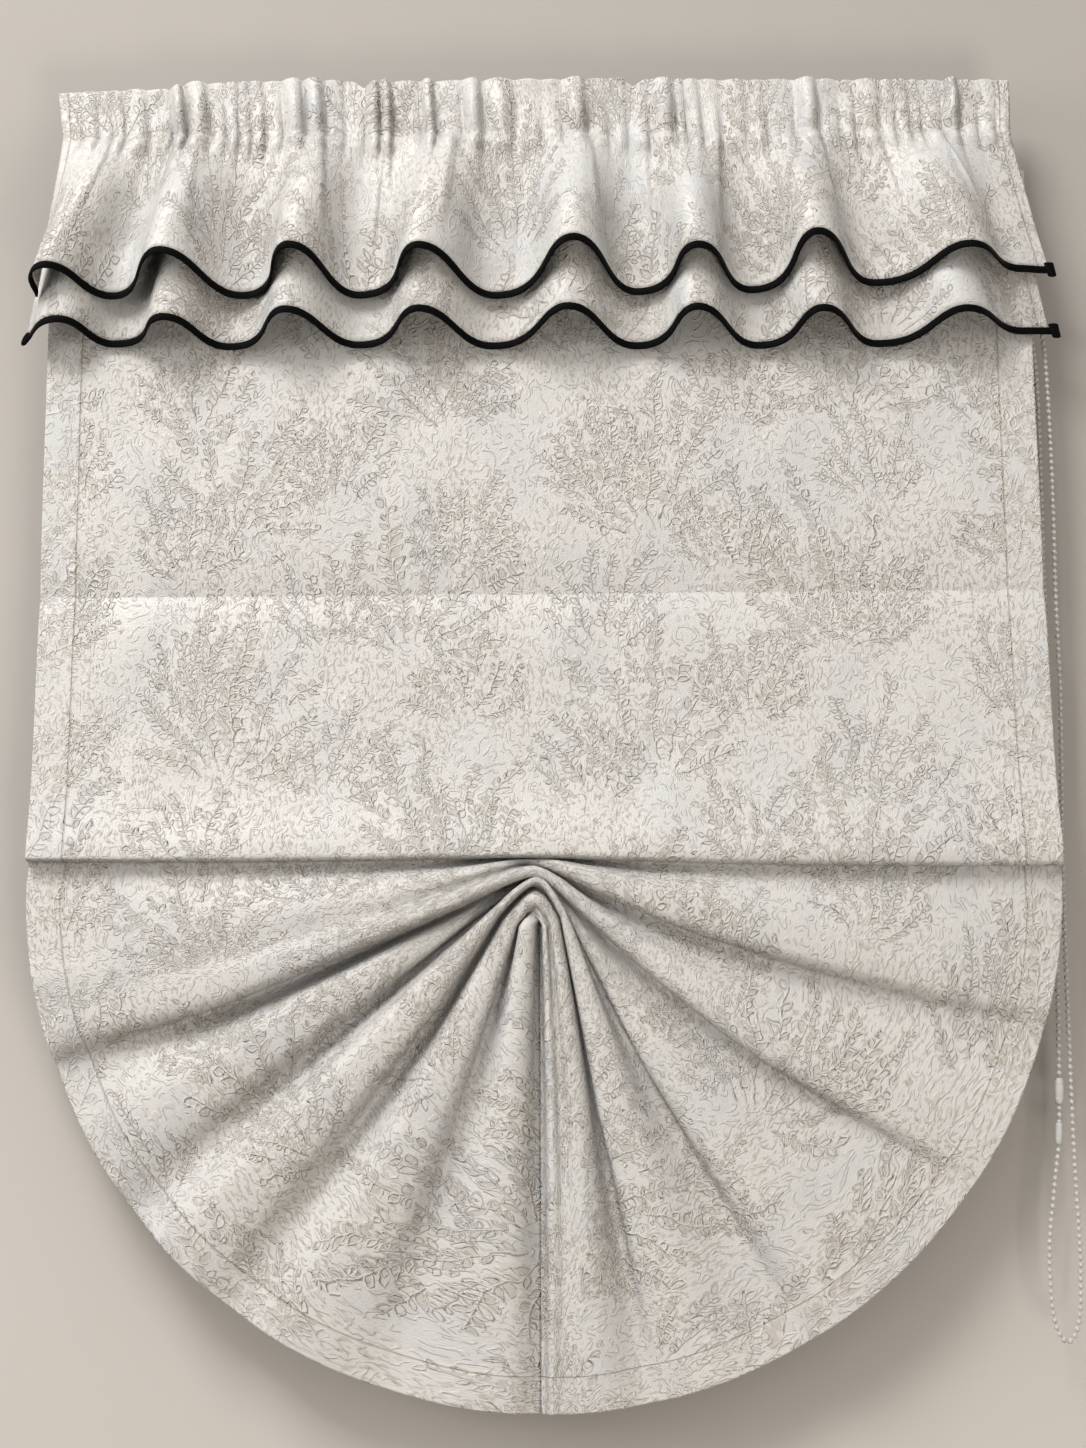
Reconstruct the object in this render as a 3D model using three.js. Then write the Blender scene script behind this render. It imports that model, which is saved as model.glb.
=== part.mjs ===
// A fan-bottomed Roman blind of white figured cloth: a panel whose lower half is drawn up at its centre into
// a half-round fan, under a gathered heading with two bound skirts, and a bead chain at its right side.
// Millimetres. +X is right, the front faces -Y, +Z is up. The origin is at the middle of the top edge.
import * as THREE from "three";
import { mergeVertices } from "three/addons/utils/BufferGeometryUtils.js";

// Cloth
const CLOTH = 1.5;
const GAP = 0.3;

// Panel: it hangs straight to FAN_TOP and its sides then run round the half circle of the fan
const HALF_WIDTH = 450;
const FAN_TOP = 743;
const FAN_RADIUS = 451;

// Heading and skirts
const SEWING_LINE = -48;
const GATHER_DEPTH = 2.6;
const FRILL_DEPTH = 3.4;
const HEADING_OUT = 9;
const BACK_SKIRT_TOP = -58;
const BACK_SKIRT_OUT = 4.5;
const SKIRT_FLARE = 1.2;

// Binding
const BINDING_WIDTH = 6.6;
const BINDING_THICKNESS = 2.6;
const TAB_LENGTH = 8;
const TAB_RISE = 4;
const TAB_DROP = 9;

// Bead chain and what is on it
const BEAD = 4.5;
const CHAIN_SIDES = 8;
const CHAIN_STEPS = 80;

// The steepest a fold's side may stand, in radians past level: over a quarter turn, it leans out
const MOST_BEND = 1.9;
const FLANK_STEPS = 24;

// The panel above its fan. down: below the top edge. half: half its width. out: how far it stands forward.
const STRAIGHT_ROWS = [
  { down: 4, half: 430, out: 0 },
  { down: 130, half: HALF_WIDTH, out: 1 },
  { down: 250, half: HALF_WIDTH, out: 2 },
  { down: 370, half: HALF_WIDTH, out: 4 },
  { down: 440, half: HALF_WIDTH, out: 5 },
  { down: 470, half: HALF_WIDTH, out: 3.5 },
  { down: 484, half: HALF_WIDTH, out: 0 },
  { down: 497, half: HALF_WIDTH, out: 5 },
  { down: 530, half: HALF_WIDTH, out: 9.5 },
  { down: 580, half: HALF_WIDTH, out: 12 },
  { down: 625, half: HALF_WIDTH, out: 15.5 },
  { down: 660, half: HALF_WIDTH, out: 20 },
  { down: 690, half: HALF_WIDTH, out: 27 },
  { down: 708, half: HALF_WIDTH, out: 32.5 },
  { down: 721, half: HALF_WIDTH, out: 35 },
];

// The lines of the fan, from the hollow under the roll down to the cloth's bottom edge. x, z: where the line
// leaves the gathered centre. edge: where it meets the side hem, measured down the hem from the top. bow: how
// far it sags at its middle. near, over, mid, far: how far it stands forward beside the centre, at the top of
// its arch over the centre, halfway and at the hem. late: over 1, the strip of cloth above the line drops near
// its end; under 1, near its start.
const FAN_LEFT = [
  { line: "under_roll", x: -34, z: -725, edge: 724, bow: 2, near: 19, over: 19, mid: 20, far: 17, late: 2.6 },
  { line: "crest_1", x: -42, z: -733, edge: 800, bow: 13, near: 34, over: 27, mid: 34, far: 20, late: 0.8 },
  { line: "groove", x: -42, z: -739, edge: 826, bow: 15, near: 31, over: 20, mid: 33, far: 22, late: 1 },
  { line: "crest_2", x: -40, z: -745, edge: 858, bow: 14, near: 36, over: 37, mid: 36, far: 19, late: 1 },
  { line: "hollow_2", x: -44, z: -754, edge: 908, bow: 4, near: 19, over: 17, mid: 10, far: 5, late: 2.4 },
  { line: "crest_3", x: -50, z: -764, edge: 986, bow: -8, near: 20, over: 15, mid: 29, far: 12, late: 0.9 },
  { line: "hollow_3", x: -46, z: -768, edge: 1045, bow: -2, near: 17, over: 15, mid: 10, far: 5, late: 2.4 },
  { line: "crest_4", x: -36, z: -766, edge: 1093, bow: 2, near: 34, over: 35, mid: 33, far: 17, late: 0.9 },
  { line: "hollow_4", x: -40, z: -776, edge: 1160, bow: 5, near: 19, over: 19, mid: 10, far: 5, late: 2.2 },
  { line: "crest_5", x: -34, z: -783, edge: 1216, bow: 8, near: 29, over: 31, mid: 30, far: 16, late: 0.9 },
  { line: "hollow_5", x: -24, z: -785, edge: 1308, bow: 2, near: 18, over: 25, mid: 10, far: 5, late: 2.2 },
  { line: "crest_6", x: -18, z: -785, edge: 1408, bow: -6, near: 31, over: 23, mid: 29, far: 16, late: 0.9 },
  { line: "bottom_edge", x: -2, z: -781, edge: 1450, bow: 0, near: 12, over: 14, mid: 8, far: 3, late: 1.3 },
];
const FAN_RIGHT = [
  { line: "under_roll", x: 18, z: -726, edge: 736, bow: 3, near: 19, over: 19, mid: 20, far: 17, late: 2.6 },
  { line: "crest_1", x: 21, z: -735, edge: 838, bow: 5, near: 35, over: 27, mid: 31, far: 14, late: 0.8 },
  { line: "groove", x: 21, z: -744, edge: 880, bow: 16, near: 17, over: 21, mid: 10, far: 6, late: 2.6 },
  { line: "crest_2", x: 21, z: -754, edge: 985, bow: 21, near: 36, over: 37, mid: 30, far: 12, late: 1.1 },
  { line: "hollow_2", x: 21, z: -764, edge: 1030, bow: 16, near: 18, over: 17, mid: 10, far: 6, late: 2.4 },
  { line: "crest_3", x: 20, z: -770, edge: 1176, bow: 7, near: 22, over: 15, mid: 29, far: 12, late: 0.9 },
  { line: "hollow_3", x: 18, z: -771, edge: 1226, bow: 6, near: 17, over: 15, mid: 9, far: 6, late: 2.2 },
  { line: "crest_4", x: 14, z: -770, edge: 1322, bow: -4, near: 34, over: 35, mid: 30, far: 14, late: 0.9 },
  { line: "hollow_4", x: 14, z: -778, edge: 1366, bow: -1, near: 18, over: 19, mid: 9, far: 6, late: 2.4 },
  { line: "crest_5", x: 7, z: -783, edge: 1418, bow: -8, near: 32, over: 31, mid: 31, far: 17, late: 0.6 },
  { line: "hollow_5", x: 3, z: -785, edge: 1440, bow: -6, near: 25, over: 24, mid: 24, far: 14, late: 1 },
  { line: "crest_6", x: 0, z: -785, edge: 1447, bow: -4, near: 28, over: 23, mid: 26, far: 15, late: 1 },
  { line: "bottom_edge", x: -4, z: -781, edge: 1456, bow: 0, near: 17, over: 14, mid: 13, far: 8, late: 1 },
];
// Faces down each strip of cloth between two lines of the fan, the roll's underside first
const FAN_FACES = [6, 4, 3, 3, 6, 4, 5, 4, 6, 4, 5, 4, 4];
// Faces across: shares of a line's length at which the cloth is cut into faces, and of the arch between lines
const RAY_STATIONS = [0, 0.06, 0.14, 0.24, 0.36, 0.5, 0.65, 0.8, 0.93, 1];
const ARCH_STATIONS = [0.14, 0.28, 0.4, 0.5, 0.6, 0.72, 0.86];
// How pointed the arches over the centre are
const TENT = 2.4;

// The skirts' folds from left to right, set-back lobes and forward tubes in turn. sewn: where the fold
// crosses the sewing line. x: where it meets the hem. hem: the height of the hem there. out: how far forward.
// late: where the side to the left of the fold is steepest, as in the fan.
const FRONT_FOLDS = [
  { sewn: -440, x: -458, hem: -204, out: 24, late: 1 },
  { sewn: -398, x: -442, hem: -188, out: 60, late: 0.5 },
  { sewn: -352, x: -388, hem: -205, out: 24, late: 1 },
  { sewn: -322, x: -341, hem: -176, out: 62, late: 1.2 },
  { sewn: -264, x: -272, hem: -204, out: 21, late: 1 },
  { sewn: -208, x: -225, hem: -172, out: 62, late: 1.5 },
  { sewn: -160, x: -163, hem: -205, out: 21, late: 1 },
  { sewn: -90, x: -108, hem: -173, out: 62, late: 1.5 },
  { sewn: -30, x: -40, hem: -206, out: 20, late: 1 },
  { sewn: 32, x: 31, hem: -167, out: 63, late: 1.5 },
  { sewn: 84, x: 89, hem: -204, out: 21, late: 1 },
  { sewn: 136, x: 142, hem: -175, out: 62, late: 1.5 },
  { sewn: 182, x: 193, hem: -203, out: 21, late: 1 },
  { sewn: 234, x: 250, hem: -164, out: 63, late: 1.5 },
  { sewn: 290, x: 304, hem: -198, out: 21, late: 1 },
  { sewn: 356, x: 386, hem: -175, out: 58, late: 1.5 },
  { sewn: 412, x: 440, hem: -184, out: 18, late: 1 },
  { sewn: 437, x: 465, hem: -184, out: 14, late: 1 },
];
const BACK_FOLDS = [
  { sewn: -438, x: -467, hem: -241, out: 14, late: 1 },
  { sewn: -398, x: -434, hem: -232, out: 40, late: 0.5 },
  { sewn: -352, x: -388, hem: -245, out: 9, late: 1 },
  { sewn: -322, x: -338, hem: -233, out: 46, late: 1.5 },
  { sewn: -264, x: -283, hem: -250, out: 11, late: 1 },
  { sewn: -208, x: -229, hem: -227, out: 46, late: 1.5 },
  { sewn: -160, x: -165, hem: -249, out: 11, late: 1 },
  { sewn: -90, x: -109, hem: -227, out: 46, late: 1.5 },
  { sewn: -30, x: -44, hem: -251, out: 11, late: 1 },
  { sewn: 32, x: 26, hem: -226, out: 46, late: 1.5 },
  { sewn: 84, x: 87, hem: -252, out: 11, late: 1 },
  { sewn: 136, x: 142, hem: -228, out: 46, late: 1.5 },
  { sewn: 182, x: 198, hem: -253, out: 11, late: 1 },
  { sewn: 234, x: 255, hem: -230, out: 46, late: 1.5 },
  { sewn: 290, x: 307, hem: -252, out: 11, late: 1 },
  { sewn: 356, x: 384, hem: -231, out: 44, late: 1.5 },
  { sewn: 410, x: 440, hem: -241, out: 10, late: 1 },
  { sewn: 435, x: 464, hem: -240, out: 7, late: 1 },
];
const BACK_FACES_PER_FLANK = 5;

// Where the gathers of the heading pinch in, from left to right
const PINCHES = [
  -420, -406, -393, -381, -359, -337, -325, -303, -288, -277, -265, -252, -235, -215, -196, -178, -159, -146,
  -134, -105, -94, -69, -50, -21, 5, 24, 46, 67, 84, 104, 127, 138, 153, 170, 194, 213, 238, 261, 280, 294,
  317, 332, 345, 355, 374, 390, 408, 424,
];
// The heading's top edge, with the two places where a tuck pulls it down
const FRILL_TOP = [
  { x: -446, z: -2 },
  { x: -335, z: 0 },
  { x: -319, z: 5 },
  { x: -220, z: 8 },
  { x: -170, z: 7 },
  { x: -160, z: 0 },
  { x: -148, z: 6 },
  { x: 82, z: 7 },
  { x: 91, z: -1 },
  { x: 101, z: 6 },
  { x: 439, z: 2 },
];

// The chain's way, down its right strand, round the loop and up its left strand
const CHAIN_ROUTE = [
  [446, 12, -142],
  [448, 12, -158],
  [456, 11, -200],
  [463, 10, -252],
  [465, 10, -330],
  [464.5, 10, -410],
  [463, 10, -490],
  [463, 10, -570],
  [461, 10, -640],
  [458, 10, -720],
  [456.5, 10, -832],
  [456, 10, -970],
  [457, 9, -1060],
  [456, 9, -1098],
  [453.5, 9, -1122],
  [449, 9, -1135],
  [443, 9, -1140],
  [437, 9, -1135],
  [432.5, 9, -1122],
  [430.5, 9, -1098],
  [431, 9, -1060],
  [437.5, 9, -1010],
  [443, 9, -970],
  [445.5, 9, -925],
  [448, 10, -850],
  [451, 10, -740],
  [453, 10, -600],
  [453, 10, -482],
  [455, 10, -344],
  [454, 10, -262],
  [446, 11, -205],
  [434, 12, -158],
  [432, 12, -142],
];
// The two joints on the left strand: where each sits on the chain, its length and its widest radius
const CHAIN_JOINTS = [
  { name: "chain_connector_a", top: -918, length: 22, radius: 4.2 },
  { name: "chain_connector_b", top: -956, length: 18, radius: 3.4 },
];
const JOINT_WALL = 0.7;
const JOINT_SIDES = 16;

// The drive that the chain runs round, behind the panel's top right corner
const DRIVE = { x: 438, width: 28, back: 22, front: 4, top: -82, bottom: -141.7, corner: 4 };

const FABRIC = { color: 0xebe7e1, roughness: 0.62, metalness: 0 };
const BINDING = { color: 0x181618, roughness: 0.45, metalness: 0 };
const PLASTIC = { color: 0xf2f1ed, roughness: 0.28, metalness: 0 };

const clamp = (v, low, high) => Math.min(high, Math.max(low, v));
const mix = (a, b, t) => a + (b - a) * t;

// The side of a fold, as a bent strip takes it: level at the hollow and at the crest, steepest in between,
// nearer the end where late is over 1. Returns the shares of the run and of the rise that are done at t.
function flank(t, rise, run, late = 1) {
  const even = clamp(1.531 * Math.atan((1.026 * rise) / Math.max(run, 0.1)), 0.001, MOST_BEND);
  const bend = Math.min(even * (1 + 0.45 * Math.max(late - 1, 0)), MOST_BEND);
  let along = 0;
  let up = 0;
  let alongAll = 0;
  let upAll = 0;
  for (let i = 0; i < FLANK_STEPS; i++) {
    const slope = bend * Math.sin(Math.PI * ((i + 0.5) / FLANK_STEPS) ** late);
    const share = clamp(t * FLANK_STEPS - i, 0, 1);
    along += share * Math.cos(slope);
    up += share * Math.sin(slope);
    alongAll += Math.cos(slope);
    upAll += Math.sin(slope);
  }
  return { along: along / alongAll, up: up / upAll };
}

// A smooth curve through values at the start, middle and end
const through = (start, middle, end, t) =>
  start * (1 - t) * (1 - 2 * t) + middle * 4 * t * (1 - t) + end * t * (2 * t - 1);

// A point of the panel's outline, at a distance down its side hem
function outline(side, edge, half = HALF_WIDTH) {
  if (edge < FAN_TOP) return { x: side * half, z: -edge };
  const turn = (edge - FAN_TOP) / HALF_WIDTH;
  return { x: side * FAN_RADIUS * Math.cos(turn), z: -FAN_TOP - FAN_RADIUS * Math.sin(turn) };
}

const LINE_VALUES = ["x", "z", "edge", "bow", "near", "over", "mid", "far", "late"];

// A line's values, part of the way from one line of the fan to the next
function between(a, b, t) {
  const value = { half: HALF_WIDTH };
  for (const key of LINE_VALUES) value[key] = mix(a[key], b[key], t);
  return value;
}

// A row of the panel above the fan, written as a line of the fan
const straightLine = (row, side) => ({
  x: side < 0 ? FAN_LEFT[0].x : FAN_RIGHT[0].x,
  z: -row.down,
  edge: row.down,
  half: row.half,
  bow: 0,
  near: row.out,
  over: row.out,
  mid: row.out,
  far: row.out * 0.9,
  late: 1,
});

// The point at a share of a line's length, without its fold
function onLine(line, side, share) {
  const rim = outline(side, line.edge, line.half);
  const run = { x: rim.x - line.x, z: rim.z - line.z };
  const length = Math.hypot(run.x, run.z);
  const sag = 4 * share * (1 - share) * line.bow;
  return {
    x: line.x + run.x * share + (side * sag * run.z) / length,
    z: line.z + run.z * share - (Math.abs(run.x) * sag) / length,
    out: through(line.near, line.mid, line.far, share),
    late: line.late,
  };
}

// The way a line leaves the centre, outwards
function heading(line, side) {
  const close = onLine(line, side, 0.04);
  const length = Math.hypot(close.x - line.x, close.z - line.z);
  return { x: (close.x - line.x) / length, z: (close.z - line.z) / length };
}

// The point at a share of the arch that joins a left line to a right one over the centre. The arch is drawn
// towards the peak where the two lines would meet if they ran on.
function onArch(left, right, share) {
  const from = heading(left, -1);
  const to = heading(right, 1);
  const gap = { x: right.x - left.x, z: right.z - left.z };
  const most = 0.8 * Math.hypot(gap.x, gap.z);
  const cross = from.x * to.z - from.z * to.x;
  const turn = Math.abs(cross) < 0.05 ? 0.05 : cross;
  const onFrom = clamp((gap.z * to.x - gap.x * to.z) / turn, 0, most);
  const onTo = clamp((gap.z * from.x - gap.x * from.z) / turn, 0, most);
  const peak = {
    x: (left.x - from.x * onFrom + right.x - to.x * onTo) / 2,
    z: (left.z - from.z * onFrom + right.z - to.z * onTo) / 2,
  };
  const first = (1 - share) ** 2;
  const second = 2 * TENT * share * (1 - share);
  const third = share ** 2;
  const total = first + second + third;
  const raised = (left.over + right.over - left.near - right.near) / 2;
  return {
    x: (first * left.x + second * peak.x + third * right.x) / total,
    z: (first * left.z + second * peak.z + third * right.z) / total,
    out: mix(left.near, right.near, share * share * (3 - 2 * share)) + raised * 4 * share * (1 - share),
    late: mix(left.late, right.late, share),
  };
}

// The stations across the panel, from the left hem over the arch to the right hem
const PANEL_STATIONS = [
  ...[...RAY_STATIONS].reverse().map((share) => ({ side: -1, share })),
  ...ARCH_STATIONS.map((share) => ({ side: 0, share })),
  ...RAY_STATIONS.map((share) => ({ side: 1, share })),
];

const atStation = (station, left, right) =>
  station.side === 0
    ? onArch(left, right, station.share)
    : onLine(station.side < 0 ? left : right, station.side, station.share);

const toPoint = (p) => new THREE.Vector3(p.x, -p.out, p.z);

// The panel's rows of points: the straight rows, then the strips of the fan, each with its fold
function panelRows() {
  const lefts = [...STRAIGHT_ROWS.map((row) => straightLine(row, -1)), ...FAN_LEFT];
  const rights = [...STRAIGHT_ROWS.map((row) => straightLine(row, 1)), ...FAN_RIGHT];
  const roll = STRAIGHT_ROWS.length - 1;
  const rows = [];
  for (let k = 0; k < roll; k++) rows.push(PANEL_STATIONS.map((s) => toPoint(atStation(s, lefts[k], rights[k]))));
  for (let k = roll; k < lefts.length - 1; k++) {
    const faces = FAN_FACES[k - roll];
    for (let i = k === roll ? 0 : 1; i <= faces; i++) {
      rows.push(
        PANEL_STATIONS.map((station) => {
          const a = atStation(station, lefts[k], rights[k]);
          const b = atStation(station, lefts[k + 1], rights[k + 1]);
          const fold = flank(i / faces, Math.abs(b.out - a.out), Math.hypot(b.x - a.x, b.z - a.z), b.late);
          const left = between(lefts[k], lefts[k + 1], fold.along);
          const right = between(rights[k], rights[k + 1], fold.along);
          return toPoint({ ...atStation(station, left, right), out: mix(a.out, b.out, fold.up) });
        }),
      );
    }
  }
  return rows;
}

// A sheet of cloth from rows of points on its middle surface, with the points' normals from their neighbours
function sheet(rows, thickness) {
  const down = rows.length;
  const across = rows[0].length;
  const front = [];
  const back = [];
  for (let j = 0; j < down; j++) {
    for (let i = 0; i < across; i++) {
      const side = new THREE.Vector3()
        .subVectors(rows[j][Math.min(i + 1, across - 1)], rows[j][Math.max(i - 1, 0)])
        .normalize();
      const fall = new THREE.Vector3()
        .subVectors(rows[Math.min(j + 1, down - 1)][i], rows[Math.max(j - 1, 0)][i])
        .normalize();
      const normal = new THREE.Vector3().crossVectors(fall, side).normalize().multiplyScalar(thickness / 2);
      front.push(rows[j][i].clone().add(normal));
      back.push(rows[j][i].clone().sub(normal));
    }
  }
  const corners = [...front, ...back];
  const behind = front.length;
  const faces = [];
  const quad = (a, b, c, d) => faces.push(a, b, c, a, c, d);
  const at = (j, i) => j * across + i;
  for (let j = 0; j < down - 1; j++) {
    for (let i = 0; i < across - 1; i++) {
      quad(at(j, i), at(j + 1, i), at(j + 1, i + 1), at(j, i + 1));
      quad(behind + at(j, i), behind + at(j, i + 1), behind + at(j + 1, i + 1), behind + at(j + 1, i));
    }
  }
  for (let i = 0; i < across - 1; i++) {
    const last = down - 1;
    quad(at(0, i), at(0, i + 1), behind + at(0, i + 1), behind + at(0, i));
    quad(at(last, i), behind + at(last, i), behind + at(last, i + 1), at(last, i + 1));
  }
  for (let j = 0; j < down - 1; j++) {
    const last = across - 1;
    quad(at(j, 0), behind + at(j, 0), behind + at(j + 1, 0), at(j + 1, 0));
    quad(at(j, last), at(j + 1, last), behind + at(j + 1, last), behind + at(j, last));
  }
  const geometry = new THREE.BufferGeometry();
  geometry.setAttribute("position", new THREE.Float32BufferAttribute(corners.flatMap((p) => [p.x, p.y, p.z]), 3));
  geometry.setIndex(faces);
  return geometry;
}

// A value read off a table of rows along x, straight from row to row
function readOff(table, x, key) {
  const k = clamp(table.findIndex((row) => row.x > x) - 1, 0, table.length - 2);
  const past = x >= table[table.length - 1].x ? table.length - 2 : k;
  const share = clamp((x - table[past].x) / (table[past + 1].x - table[past].x), 0, 1);
  return mix(table[past][key], table[past + 1][key], share);
}

// How far the gathers stand out at a place on the sewing line: 0 in a pinch, 1 between two
function gather(sewn) {
  const ends = [FRONT_FOLDS[0].sewn, ...PINCHES, FRONT_FOLDS[FRONT_FOLDS.length - 1].sewn];
  const k = clamp(ends.findIndex((x) => x > sewn) - 1, 0, ends.length - 2);
  const last = sewn >= ends[ends.length - 1] ? ends.length - 2 : k;
  return Math.sin(Math.PI * clamp((sewn - ends[last]) / (ends[last + 1] - ends[last]), 0, 1));
}

// A point of a skirt: sewn is its place on the sewing line, fall its share of the way down to the hem
function skirtPoint(folds, sewn, fall, top, out) {
  const next = folds.findIndex((row) => row.sewn > sewn);
  const k = next < 0 ? folds.length - 2 : Math.max(next - 1, 0);
  const t = clamp((sewn - folds[k].sewn) / (folds[k + 1].sewn - folds[k].sewn), 0, 1);
  const flare = Math.max(fall, 0) ** SKIRT_FLARE;
  const swell = 1 - (1 - clamp(fall, 0, 1)) ** 1.7;
  const ends = [folds[k], folds[k + 1]].map((row) => ({
    x: mix(row.sewn, row.x, flare),
    out: mix(out, row.out, swell),
  }));
  const fold = flank(t, Math.abs(ends[1].out - ends[0].out), ends[1].x - ends[0].x, folds[k + 1].late);
  const hem = mix(folds[k].hem, folds[k + 1].hem, fold.up);
  return {
    x: mix(ends[0].x, ends[1].x, fold.along),
    z: mix(top, hem, fall),
    out: mix(ends[0].out, ends[1].out, fold.up),
  };
}

// The front skirt, whose gathers die out a third of the way down
function frontSkirt(sewn, fall) {
  const point = skirtPoint(FRONT_FOLDS, sewn, fall, SEWING_LINE, HEADING_OUT);
  point.out += GATHER_DEPTH * gather(sewn) * Math.exp(-Math.max(fall, 0) / 0.22);
  return point;
}

const backSkirt = (sewn, fall) => skirtPoint(BACK_FOLDS, sewn, fall, BACK_SKIRT_TOP, BACK_SKIRT_OUT);

// The heading above the sewing line: rise is its share of the way up to the top edge
function frill(sewn, rise) {
  const widen = mix(1, 1.008, rise);
  const depth = mix(GATHER_DEPTH, FRILL_DEPTH, rise);
  return {
    x: sewn * widen - 3 * rise,
    z: mix(SEWING_LINE, readOff(FRILL_TOP, sewn, "z"), rise),
    out: HEADING_OUT + depth * gather(sewn) - 1.5 * rise,
  };
}

// Places along the sewing line: each pinch, and the crest between two
function gatherPlaces() {
  const ends = [FRONT_FOLDS[0].sewn, ...PINCHES, FRONT_FOLDS[FRONT_FOLDS.length - 1].sewn];
  return ends.flatMap((x, i) => (i === ends.length - 1 ? [x] : [x, (x + ends[i + 1]) / 2]));
}

// Places along the sewing line: the same number in each side of each fold
const foldPlaces = (folds, faces) =>
  folds.flatMap((row, k) =>
    k === folds.length - 1
      ? [row.sewn]
      : Array.from({ length: faces }, (_, i) => mix(row.sewn, folds[k + 1].sewn, i / faces)),
  );

// A strip of binding below a skirt's hem, with the folded tab that closes its right end
function binding(places, skirt, span) {
  const hemPoint = (sewn, below) => {
    const point = skirt(sewn, 1);
    return new THREE.Vector3(point.x, -point.out, point.z - below);
  };
  const columns = places.map((sewn) => [hemPoint(sewn, GAP + CLOTH / 2), hemPoint(sewn, GAP + BINDING_WIDTH)]);
  const end = hemPoint(span, 0);
  for (const beyond of [GAP + CLOTH, TAB_LENGTH]) {
    columns.push([
      new THREE.Vector3(end.x + beyond, end.y + beyond * 0.15, end.z + TAB_RISE),
      new THREE.Vector3(end.x + beyond, end.y + beyond * 0.15, end.z - TAB_DROP),
    ]);
  }
  return sheet([columns.map((c) => c[0]), columns.map((c) => c[1])], BINDING_THICKNESS);
}

function chainCurve() {
  return new THREE.CatmullRomCurve3(
    CHAIN_ROUTE.map(([x, y, z]) => new THREE.Vector3(x, y, z)),
    false,
    "catmullrom",
    0.5,
  );
}

function chain() {
  const section = new THREE.Shape(
    Array.from({ length: CHAIN_SIDES }, (_, i) => {
      const turn = (2 * Math.PI * (i + 0.5)) / CHAIN_SIDES;
      return new THREE.Vector2((BEAD / 2) * Math.cos(turn), (BEAD / 2) * Math.sin(turn));
    }),
  );
  return new THREE.ExtrudeGeometry(section, { steps: CHAIN_STEPS, extrudePath: chainCurve() });
}

// A joint is a sleeve round the chain, drawn in at both ends
function chainJoint(joint) {
  const bore = BEAD / 2 + GAP;
  const end = bore + JOINT_WALL;
  const profile = [
    [bore, 0],
    [end, 0],
    [joint.radius, joint.length * 0.22],
    [joint.radius, joint.length * 0.78],
    [end, joint.length],
    [bore, joint.length],
    [bore, 0],
  ];
  const geometry = new THREE.LatheGeometry(
    profile.map(([x, y]) => new THREE.Vector2(x, y - joint.length / 2)),
    JOINT_SIDES,
  );
  const curve = chainCurve();
  const middle = joint.top - joint.length / 2;
  let best = 0;
  const steps = 4000;
  for (let i = steps / 2; i <= steps; i++) {
    const near = Math.abs(curve.getPoint(i / steps).z - middle);
    if (near < Math.abs(curve.getPoint(best).z - middle)) best = i / steps;
  }
  const turn = new THREE.Quaternion().setFromUnitVectors(new THREE.Vector3(0, 1, 0), curve.getTangent(best));
  geometry.applyQuaternion(turn);
  geometry.translate(...curve.getPoint(best).toArray());
  return geometry;
}

// The drive's case: a plain box with rounded upright edges
function drive() {
  const halfX = DRIVE.width / 2;
  const halfY = (DRIVE.back - DRIVE.front) / 2;
  const r = DRIVE.corner;
  const plan = new THREE.Shape();
  plan.moveTo(-halfX + r, -halfY);
  plan.lineTo(halfX - r, -halfY);
  plan.absarc(halfX - r, -halfY + r, r, -Math.PI / 2, 0);
  plan.lineTo(halfX, halfY - r);
  plan.absarc(halfX - r, halfY - r, r, 0, Math.PI / 2);
  plan.lineTo(-halfX + r, halfY);
  plan.absarc(-halfX + r, halfY - r, r, Math.PI / 2, Math.PI);
  plan.lineTo(-halfX, -halfY + r);
  plan.absarc(-halfX + r, -halfY + r, r, Math.PI, 1.5 * Math.PI);
  const geometry = new THREE.ExtrudeGeometry(plan, {
    depth: DRIVE.top - DRIVE.bottom,
    bevelEnabled: false,
    curveSegments: 4,
  });
  geometry.translate(DRIVE.x, (DRIVE.back + DRIVE.front) / 2, DRIVE.bottom);
  return geometry;
}

function piece(name, geometry, look) {
  const bare = new THREE.BufferGeometry().setAttribute("position", geometry.getAttribute("position"));
  if (geometry.index) bare.setIndex(geometry.index);
  const merged = mergeVertices(bare, 1e-3);
  merged.computeVertexNormals();
  const mesh = new THREE.Mesh(merged, new THREE.MeshStandardMaterial(look));
  mesh.name = name;
  return mesh;
}

const FALLS = [0, 0.12, 0.3, 0.52, 0.76, 1];
const RISES = [1, 0.5];
const frontPlaces = gatherPlaces();
const backPlaces = foldPlaces(BACK_FOLDS, BACK_FACES_PER_FLANK);

const frontRows = [
  ...RISES.map((rise) => frontPlaces.map((sewn) => toPoint(frill(sewn, rise)))),
  ...FALLS.map((fall) => frontPlaces.map((sewn) => toPoint(frontSkirt(sewn, fall)))),
];
const backRows = FALLS.map((fall) => backPlaces.map((sewn) => toPoint(backSkirt(sewn, fall))));

const blind = new THREE.Group();
blind.add(
  piece("panel", sheet(panelRows(), CLOTH), FABRIC),
  piece("valance_front", sheet(frontRows, CLOTH), FABRIC),
  piece("valance_back", sheet(backRows, CLOTH), FABRIC),
  piece("binding_front", binding(frontPlaces, frontSkirt, FRONT_FOLDS.at(-1).sewn), BINDING),
  piece("binding_back", binding(backPlaces, backSkirt, BACK_FOLDS.at(-1).sewn), BINDING),
  piece("bead_chain", chain(), PLASTIC),
  ...CHAIN_JOINTS.map((joint) => piece(joint.name, chainJoint(joint), PLASTIC)),
  piece("chain_drive", drive(), PLASTIC),
);

export default blind;
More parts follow.
